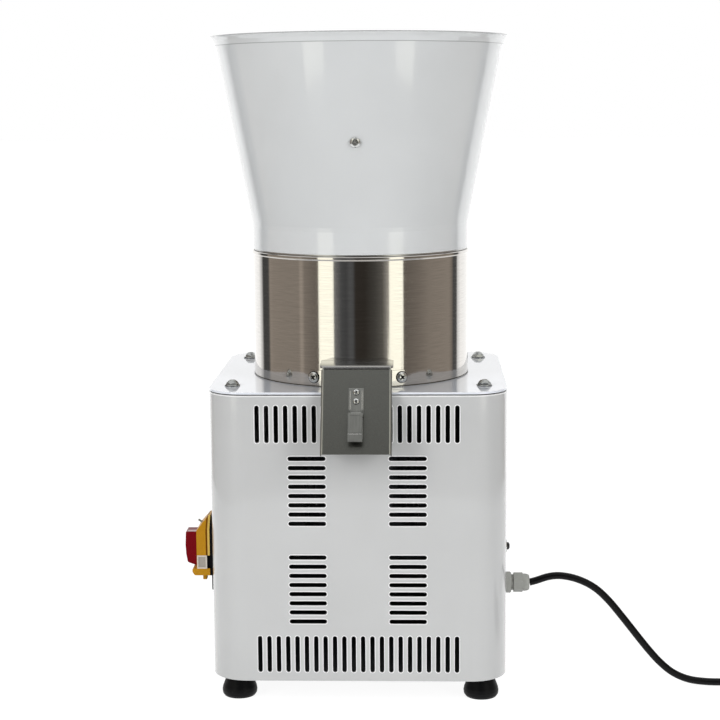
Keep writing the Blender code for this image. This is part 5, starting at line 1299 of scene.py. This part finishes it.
def make_clip_plate():
    """The riveted plate with two grooves, and the ears that hold the pin."""
    plate = block("plate", (-clip_half, clip_front, clip_foot), (clip_half, clip_face, clip_top))
    grooves = [block("groove", (x - clip_groove_half, clip_front - 0.001, clip_foot + 0.004),
                     (x + clip_groove_half, clip_front + fit, clip_top - 0.003))
               for x in both_ways(clip_half * 0.80)]
    # The plate's rounded edges are painted as highlight.
    plate = bevelled(combined(plate, merged("grooves", grooves)), 0.0005, 2, 40, (clip_steel, highlight_steel))
    reach = clip_knuckle
    loop = filleted([(clip_face, hinge_z + 2 * reach), (clip_face, hinge_z - reach), (pin_y, hinge_z - reach),
                     (pin_y - reach, hinge_z), (pin_y, hinge_z + reach), (clip_front, hinge_z + 2 * reach)],
                    0.0006)
    ears = [bevelled(outline("ear", (loop,), clip_ear, at(x=sign * (clip_half - clip_ear / 2)) @ across_x),
                     0.0002, 1, 50) for sign in (-1, 1)]
    add("clip_plate", merged("plate", [plate] + ears), None, "clip_base", place=clip_slope)
    pin = rod("pin", 0.0010, clip_width, 20, at(-clip_half, pin_y, hinge_z) @ outward_right)
    add("hinge_pin", pin, zinc, "clip_pin", place=clip_slope)
    for name, drop in rivet_drops.items():
        seat = aimed((0, clip_front - fit, clip_top - drop), (0, -1, 0))
        add("rivet_" + name, pan_screw(rivet, (0.0015, 0.0026), seat, rivet_spin), zinc, "clip_rivet_" + name,
            place=clip_slope)
        trim("rivet_shade_" + name, screw_shade(rivet, seat, rivet_spin), shadow_steel, "clip_rivet_" + name,
             place=clip_slope)


def make_clip_lever():
    """The lever: a bent strip with a raised border and folded sides, on a knuckle round the pin."""
    inner = clip_half - clip_ear - fit
    knuckle = outline("knuckle", ([(v, u) for u, v in circle(clip_knuckle, 28)], circle(0.00115, 16)),
                      2 * inner, at(y=pin_y, z=hinge_z) @ across_x)
    skin = pin_y - pin_reach
    back = skin + lever_sheet
    low = skin - lever_step
    width = clip_width * 0.97
    upper = hinge_z - 0.0004
    turn = hinge_z - lever_length
    end = hinge_z - lever_end
    bend = filleted([(back, upper), (skin, upper), (skin, turn), (low, turn - lever_step), (low, end),
                     (low + lever_sheet, end), (low + lever_sheet, turn - lever_step * 1.4),
                     (back, turn - lever_step * 0.4)], soft_edge)
    arm = outline("arm", (bend,), width, at(x=-lever_aside) @ across_x)
    # The arm's rounded edges are painted as highlight.
    arm = bevelled(arm, 0.0005, 2, 50, (clip_steel, highlight_steel))
    # A painted highlight along the lever's crease.
    crease_highlight = block("crease_highlight", (-width / 2 - lever_aside, skin - fit / 2, turn - soft_edge),
                   (width / 2 - lever_aside, skin + fit, turn + soft_edge))
    trim("clip_crease_highlight", crease_highlight, highlight_steel, "clip_lever", place=clip_slope)
    border = outline("border", (rounded_rectangle(width * 0.84, upper - turn - 0.0035, 0.0010, 6),
                                rounded_rectangle(width * 0.72, upper - turn - 0.0052, 0.0006, 6)), 0.0008,
                     at(y=skin, z=(upper + turn) / 2) @ across_y)
    edge = filleted([(skin + 0.0008, hinge_z - 0.0050), (pin_y + 0.0010, hinge_z - 0.0062),
                     (pin_y + 0.0010, end + 0.008), (skin + 0.0008, end + 0.001)], 0.0010)
    sides = [bevelled(outline("side", (edge,), 0.0012, at(x=sign * (width / 2 - 0.0010)) @ across_x),
                      0.0003, 2, 50) for sign in (-1, 1)]
    web = block("web", (-inner, skin + 0.0006, hinge_z - 0.0022), (inner, pin_y, hinge_z - 0.0006))
    add("clip_arm", merged("arm", [arm, knuckle, web, bevelled(border, 0.0002, 1, 40)] + sides), None,
        "clip_lever", place=clip_slope)


# Switch on the left side

def on_left(points):
    """Points as (reach, level about the switch), turned into (x, z)."""
    return [(-side_x - reach, switch_z + level) for reach, level in points]


def left_block(name, reach, across, level):
    """A block by its reach, its span across and its levels about the switch, each from low to high."""
    return block(name, (-side_x - reach[1], switch_y + across[0], switch_z + level[0]),
                 (-side_x - reach[0], switch_y + across[1], switch_z + level[1]))


def left_prism(name, points, width, radius=0.0, y=0.0):
    """A rounded outline of (reach, level) points, as wide as asked about a place across the switch."""
    return outline(name, (filleted(on_left(points), radius, 4),), width, at(y=switch_y + y) @ across_y)


def left_place(reach, level):
    """A place on the left side, with +Z of the frame pointing outwards."""
    return at(-side_x - reach, switch_y, switch_z + level) @ outward_left


def left_body(name, reach, half, level, soft=0.0006):
    """A moulded block with soft edges, as wide either way as asked."""
    return bevelled(left_block(name, reach, both_ways(half), level), soft, 3, 40)


def make_switch():
    """The plate, the black body with its hinge, the grey front with its cheeks, and the two buttons."""
    middle = (switch_block_top + switch_block_bottom) / 2
    loops = [rounded_rectangle(switch_plate_width, switch_plate_height, switch_plate_sheet, 8,
                               (0, -switch_plate_drop)),
             rounded_rectangle(2 * switch_block_half, switch_block_top - switch_block_bottom, sheet, 4,
                               (0, middle))]
    plate = outline("plate", [[(v, u) for u, v in loop] for loop in loops], switch_plate_sheet,
                    left_place(fit + switch_plate_sheet / 2, 0))
    add("switch_back_plate", bevelled(plate, 0.0007, 3, 50), black_matt, "switch_plate")
    bores = merged("bores", [rod("bore", button_radius + fit, pad_reach, small_steps,
                                 left_place(switch_plate_sheet, level)) for level in button_levels.values()])
    back = fit + switch_plate_sheet + fit
    base = left_body("base", (back, switch_base_reach), switch_base_half,
                     (switch_base_bottom, switch_base_top))
    inside = left_body("inside", (-switch_depth, back + sheet), switch_block_half - fit,
                       (switch_block_bottom + fit, switch_block_top - fit))
    add("switch_body", merged("base", (combined(base, bores.copy()), inside)), black_matt, "switch_base")
    neck = left_body("neck", (back, switch_hinge_reach - cover_room), switch_hinge_half,
                     (switch_base_top - sheet, switch_hinge_level), fit)
    hinge = rod("hinge", cover_wall, 2 * switch_hinge_half, 24, hinge_place(switch_hinge_half))
    trim("switch_hinge", merged("hinge", (neck, hinge)), yellow_plastic, "switch_base")
    front = left_body("block", (switch_base_reach + fit, switch_block_reach), switch_block_half,
                      (switch_block_bottom, switch_block_top))
    cheeks = []
    for sign in (-1, 1):
        across = sorted((sign * (switch_block_half + fit / 2), sign * (switch_block_half - switch_cheek)))
        cheek = left_block("cheek", (switch_base_reach + fit / 2, switch_cheek_reach), across,
                           (switch_block_bottom + fit / 2, switch_cheek_top))
        cheeks.append(bevelled(cheek, 0.0005, 2, 40))
    add("switch_front", merged("block", [combined(front, bores)] + cheeks), grey_plastic, "switch_block")
    length = button_reach - button_back
    profile = [(0, length), (button_radius - 2 * fit, length + fit), (button_radius, length - 2 * fit),
               (button_radius, 0), (0, 0)]
    for button, look in (("start_button", green_plastic), ("stop_button", red_plastic)):
        key = lathed("key", profile, 0.0007, 40, left_place(button_back, button_levels[button]))
        add(button + "_cap", key, look, button)


def hinge_place(half):
    """The end of the hinge of the switch's cover, with +Z of the frame along it."""
    return (at(-side_x - switch_hinge_reach, switch_y + half, switch_z + switch_hinge_level)
            @ turn_about("X", math.pi / 2))


def hip_wedges(inset):
    """What leaves both sides of the cover leaning in above the base of its hip."""
    lean = (cover_half - hip_half) / (cover_top - hip_base)
    high = cover_top + pad_wall
    wedges = []
    for sign in (-1, 1):
        loop = [(switch_y + sign * (y - inset * math.hypot(1, lean)), switch_z + z)
                for y, z in ((cover_half + lean * pad_wall, hip_base - pad_wall),
                             (cover_half + lean * pad_wall, high),
                             (cover_half - lean * (high - hip_base), high))]
        wedges.append(outline("wedge", (loop,), 3 * cover_reach, at(x=-side_x - cover_reach) @ across_x))
    return wedges


def banded(mesh, reaches, looks, floor):
    """Parts a mesh at levels of reach, and gives each band above a floor a look of its own."""
    work = bmesh.new()
    work.from_mesh(mesh)
    for reach in reaches:
        bmesh.ops.bisect_plane(work, geom=work.verts[:] + work.edges[:] + work.faces[:],
                               plane_co=(-side_x - reach, 0, 0), plane_no=(1, 0, 0))
    for face in work.faces:
        centre = face.calc_center_median()
        band = sum(-side_x - centre.x > reach for reach in reaches)
        face.material_index = band if centre.z > floor or band == 0 else len(reaches)
    parted = bpy.data.meshes.new(mesh.name)
    work.to_mesh(parted)
    work.free()
    for look in looks:
        parted.materials.append(look)
    return parted


def make_cover_windows():
    """The frames and panes of the windows in the sides of the switch's cover."""
    low, high = switch_base_reach, cover_reach - fit
    pane = [(low, lip_top), (high, lip_top), (high, window_top), (low, window_top)]
    inset = frame_width
    hole = [(low + inset, lip_top + inset), (high - inset, lip_top + inset),
            (high - inset, window_top - inset), (low + inset, window_top - inset)]
    frames = [outline("frame", (on_left(pane), on_left(hole)), 2 * fit, at(y=switch_y + face) @ across_y)
              for face in both_ways(cover_half)]
    panes = [left_prism("pane", pane, 2 * fit, y=y) for y in both_ways(cover_half - cover_wall / 2)]
    trim("cover_window_frames", merged("frames", frames), cream_plastic, "switch_cover")
    trim("cover_window_panes", merged("panes", panes), window_grey, "switch_cover")


def make_switch_cover():
    """The hipped yellow cover: hollow, with the pad's opening, windows in its sides and a nub below."""
    wall = cover_wall
    room = cover_room
    outer = [(cover_back, cover_top - wall), (switch_hinge_reach, cover_top),
             (switch_hinge_reach + wall, cover_top - wall * 0.4), (cover_reach, cover_shoulder),
             (cover_reach, lip_top), (lip_reach, lip_top), (lip_reach, (lip_top + lip_bottom) / 2),
             (lip_reach - wall * 1.5, lip_bottom), (cover_back, lip_bottom)]
    body = left_prism("cover", outer, 2 * cover_half, 0.0014)
    body = bevelled(combined(body, *hip_wedges(0)), moulded_edge, 3, 30)
    roof = cover_top - wall * 2.4
    shelf = switch_base_bottom + 3 * room
    floor = switch_base_bottom - 3 * room
    inner = [(-pad_wall, roof), (switch_hinge_reach, roof), (cover_reach - wall, cover_shoulder - wall * 0.7),
             (cover_reach - wall, shelf), (switch_base_reach + room, shelf),
             (switch_base_reach + room, floor), (-pad_wall, floor)]
    inner = combined(left_prism("hollow", inner, 2 * (cover_half - wall)), *hip_wedges(wall))
    opening = left_block("opening", (cover_reach - wall - room, lip_reach), both_ways(pad_half + fit),
                         (pad_bottom - fit, pad_top + fit))
    window = left_block("window", (-pad_wall, cover_reach - wall), both_ways(2 * cover_half),
                        (lip_top, window_top))
    half = switch_hinge_half + fit
    bore = rod("bore", wall + fit, 2 * half, 24, hinge_place(half))
    slot = left_block("slot", (-switch_hinge_reach, switch_hinge_reach), both_ways(half),
                      (switch_hinge_level - 3 * wall, switch_hinge_level + 3 * wall))
    grooves = [left_block("groove", groove_reach,
                          sorted((side * 2 * cover_half, side * (cover_half - groove_depth))),
                          (window_top + wall, hip_base)) for side in (-1, 1)]
    nub = left_block("nub", (nub_reach - nub_width, nub_reach), both_ways(nub_width),
                     (nub_bottom, lip_bottom + room))
    body = combined(body, inner, opening, window, bore, slot, *grooves)
    make_cover_windows()
    whole = merged("cover", (body, bevelled(nub, 0.0008, 3, 40)))
    # Bands outwards from the plate: black base, a painted highlight strip, painted shade in the groove, then
    # the yellow body.
    looks = (black_matt, yellow_highlight, yellow_shade, yellow_plastic)
    add("cover_shell", banded(whole, (seam_reach, *groove_reach), looks, switch_z + window_top), None,
        "switch_cover", angle=28)
    latch = bevelled(left_prism("latch", latch_outline, 2 * latch_half, fit), 0.0002, 3, 50)
    trim("cover_latch", latch, pale_plastic, "switch_cover")


def make_stop_pad():
    """The red pad in the cover: bowed front, tapered foot, hollow, with a stem that meets the stop button."""
    front = pad_reach
    tall = pad_top - pad_bottom
    bow_level = pad_top - tall * 0.38
    foot_reach = cover_reach + cover_room
    outer = [(pad_back, pad_top), (front - pad_bow * 0.3, pad_top), (front, bow_level),
             (front - pad_bow * 0.3, pad_top - tall * 0.65), (front - pad_bow, pad_bottom + pad_chamfer),
             (front - pad_bow * 1.6, pad_bottom + pad_chamfer * 0.8), (foot_reach, pad_bottom + cover_room),
             (foot_reach, pad_bottom), (pad_back, pad_bottom)]
    pad = left_prism("pad", outer, 2 * pad_half, 0.0012)
    back = pad_back - pad_wall
    inner = [(back, pad_top - pad_wall), (front - pad_wall * 1.4, pad_top - pad_wall),
             (front - pad_wall, bow_level),
             (front - pad_bow - pad_wall * 2, pad_bottom + pad_chamfer + pad_wall * 0.6),
             (cover_reach, pad_bottom + pad_wall), (back, pad_bottom + pad_wall)]
    pad = combined(bevelled(pad, moulded_edge, 3, 50), left_prism("hollow", inner, 2 * (pad_half - pad_wall)))
    stem_back = button_reach + 2 * fit
    stem = rod("stem", pad_stem_radius, front - pad_bow - pad_wall - stem_back, 24,
               left_place(stem_back, button_levels["stop_button"]))
    add("pad_shell", merged("pad", (pad, stem)), red_plastic, "stop_pad", angle=28)
    # A glossier finish and a painted highlight on the near half of the pad's top.
    pad_highlight = left_block("pad_highlight", (cover_reach + pad_wall / 2, front - pad_wall),
                       (pad_wall / 2 - pad_half, -pad_wall), (pad_top - fit, pad_top + fit / 3))
    trim("pad_top", pad_highlight, red_highlight, "stop_pad")


# Right side

def make_reset():
    """The reset's threaded ring and its domed cap."""
    seat = at(side_x, reset_y, reset_z) @ outward_right
    bore, front, back = reset_bore, 0.0028, -0.0018
    ring = [(bore, front), (0.0074, front), (reset_ring_radius, 0.0020), (reset_ring_radius, fit),
            (reset_thread_radius, fit), (reset_thread_radius, back), (reset_body_radius, back),
            (reset_body_radius, reset_end), (0, reset_end), (0, reset_floor), (bore, reset_floor)]
    radii = [0.0003, 0.0004, 0.0004, 0.0001, 0, 0, 0.0004, 0.001, 0, 0, 0]
    add("reset_ring", lathed("reset", ring, radii, 48, seat), zinc, "reset_body")
    low, high = local_box("reset_button")
    reach = high.x - side_x
    foot = reach - (high.x - low.x)
    radius = bore - fit
    cap = [(0, reach), (0.0024, reach), (radius, reach - 0.0014), (radius, foot), (0, foot)]
    add("reset_cap", lathed("cap", cap, [0, 0.0030, 0.0012, 0.0005, 0], 40, seat), black_plastic,
        "reset_button")


def hexagon(radius, low, high, chamfer=0.84):
    """A hexagon prism whose outer corners are turned off at its upper end."""
    wide = radius * 1.03
    below = low - 0.001
    above = high + 0.0001
    prism = rod("hexagon", radius, high - low, 6, base=low)
    cone = turned("cone", ((0, above), (radius * chamfer, above),
                           (wide, high - radius * (1.03 - chamfer) * 0.6), (wide, below), (0, below)), 48)
    return bevelled(combined(prism, within=cone), 0.0003, 2, 35)


def threaded(name, low, high, pitch):
    """A length of the gland's bored thread."""
    radius = gland_thread_radius
    points = [(gland_bore, high), (radius - pitch * 0.5, high)]
    count = max(1, int((high - low) / pitch))
    span = (high - low) / count
    for i in range(count):
        z = high - span * i
        points += [(radius, z - span * 0.35), (radius, z - span * 0.55), (radius - pitch * 0.5, z - span)]
    return turned(name, points + [(gland_bore, low)], 48)


def bored(mesh, radius=gland_bore):
    """A mesh less a long hole about its axis."""
    half = 0.03
    return combined(mesh, rod("hole", radius, 2 * half, base=-half))


def make_gland():
    """The cable gland: body with its threads, cap nut with its dome and seal, and the locknut inside."""
    seat = at(side_x + fit, gland_y, gland_z) @ outward_right
    radius, top = gland_flange
    body = bored(hexagon(radius, 0, top))
    thread = threaded("thread", top, gland_thread_end, 0.0011)
    tail = threaded("tail", gland_tail_end, 0, 0.0012)
    add("gland_flange", moved(merged("gland", (body, thread, tail)), seat), gland_plastic, "gland_body")
    low, high = local_box("gland_nut")
    start = low.x - side_x - fit
    end = high.x - side_x - fit
    radius, tall = gland_dome
    foot = end - tall - 0.002
    nut = bored(hexagon(gland_nut_radius, start, end - tall, 0.93))
    dome = lathed("dome", [(gland_bore, end), (0.0085, end), (0.0096, end - 0.0028), (radius, end - 0.0050),
                           (radius, foot), (gland_bore, foot)], [0.0004, 0.0018, 0.002, 0.001, 0, 0], 56)
    add("gland_cap", moved(merged("cap", (nut, dome)), seat), gland_plastic, "gland_nut")
    bore, radius = seal_radii
    seal = lathed("seal", [(bore, end), (radius, end), (radius, end - seal_depth), (bore, end - seal_depth)],
                  fit, 48)
    trim("gland_seal", moved(seal, seat), black_rubber, "gland_nut")
    inside = -(sheet + 2 * fit)
    lock = bored(hexagon(gland_lock[0], inside - gland_lock[1], inside), gland_hole_radius)
    add("gland_lock", moved(lock, seat), gland_plastic, "gland_locknut")


# Power cord

def smooth_line(points, step):
    """Points at even steps on a smooth curve through a route's own points."""
    route = [Vector(p) for p in points]
    route = [2 * route[0] - route[1]] + route + [2 * route[-1] - route[-2]]
    line = []
    for a, b, c, d in zip(route, route[1:], route[2:], route[3:]):
        for i in range(route_steps):
            t = i / route_steps
            line.append(0.5 * (2 * b + (c - a) * t + (2 * a - 5 * b + 4 * c - d) * t ** 2
                               + (3 * b - a - 3 * c + d) * t ** 3))
    line.append(route[-2])
    total = length_of(line)
    count = max(2, round(total / step))
    spaced = [line[0]]
    walked = 0
    target = total / count
    for p, q in zip(line, line[1:]):
        span = (q - p).length
        while walked + span >= target - weld and len(spaced) < count:
            spaced.append(p.lerp(q, (target - walked) / span))
            target += total / count
        walked += span
    spaced.append(line[-1])
    return spaced


def length_of(line):
    return sum((q - p).length for p, q in zip(line, line[1:]))


def coil_point(turn):
    """A place on the winding: inwards in the lower layer, up, and outwards in the upper one."""
    reverse = coil_turns_in + coil_turns_climb / 2
    radius = coil_outer_radius - coil_turn_pitch * (reverse - abs(turn - reverse))
    rise = min(1, max(0, (turn - coil_turns_in) / coil_turns_climb))
    height = rise * rise * (3 - 2 * rise) * coil_layer_pitch
    angle = 2 * math.pi * turn
    return Vector((gland_end + coil_centre_reach + radius * math.sin(angle),
                   gland_y - coil_outer_radius + radius * math.cos(angle), cord_route[-1][1] + height))


def make_cord():
    """One cord from the gland down to the floor and through its coil to the plug."""
    route = smooth_line([(gland_end + reach, gland_y, z) for reach, z in cord_route], cord_step)
    total = coil_turns_in + coil_turns_climb + coil_turns_out
    count = round(total * coil_steps)
    winding = [coil_point(total * i / count) for i in range(count + 1)]
    direction = Vector((0, -math.cos(plug_tilt), math.sin(plug_tilt)))
    tail = winding[-1] + direction * 2 * cord_radius
    path = route + winding[1:] + [tail]
    length = length_of(path)
    mesh = drawn("cord", [path], False, dimensions="3D", bevel_depth=cord_radius, bevel_resolution=6,
                 use_fill_caps=True)
    cord = add("mains_cord", mesh, black_sheath, "power_cord", "cord_coil")
    plug = make_plug(aimed(tail + direction * fit, direction))
    return length


def make_plug(place):
    """A round plug with a tapered tail and two pins."""
    whole = plug_tail + plug_body
    radius = plug_radius
    profile = [(0, whole), (radius * 0.95, whole), (radius, whole - 0.003),
               (radius, plug_tail + plug_body * 0.45), (radius * 0.72, plug_tail + plug_body * 0.10),
               (0.0078, plug_tail), (0.0062, plug_tail * 0.6), (0.0050, 0), (0, 0)]
    shell = lathed("plug", profile, [0, 0.001, 0.002, 0.010, 0.004, 0.004, 0.004, 0.0005, 0], 56)
    tip, root = whole + pin_length, whole - 0.004
    pins = [lathed("pin", [(0, tip), (pin_radius, tip), (pin_radius, root), (0, root)], [0, 0.0012, 0, 0], 24,
                   at(x=x)) for x in both_ways(pin_offset)]
    plug = add("mains_plug", moved(shell, place), black_sheath, "plug")
    trim("plug_pins", moved(merged("pins", pins), place), zinc, "plug")
    return plug


def make_inner_parts():
    dress(cast_grey, "base_plate", "motor_body", "motor_bell_top", "motor_bell_bottom", "fan_cover")
    dress(inner_steel, "sieve_ring", "sieve_seat", "rotor_hub", "sweeper", "blade", "motor_shaft")
    dress(zinc, "hub_nut", "bearing_top", "bearing_bottom")
    dress(copper_brown, "stator_core")
    dress(lamination, "rotor_core")
    dress(black_plastic, "motor_fan", "capacitor")


make_camera()
make_world()
make_floor()
make_lamps()
make_studio()
cord_length = make_cord()
for make in (make_cabinet, make_top_plate, make_feet, make_plate_bolts, make_drum, make_hopper, make_guard,
             make_guard_screws, make_feed_plate, make_chute_box, make_brow, make_chute_tabs, make_chute_cover,
             make_clip_plate, make_clip_lever, make_switch, make_switch_cover, make_stop_pad, make_reset,
             make_gland, make_inner_parts):
    make()
bpy.context.scene.view_settings.view_transform = "Standard"

print("cord length", round(cord_length, 4), "m")
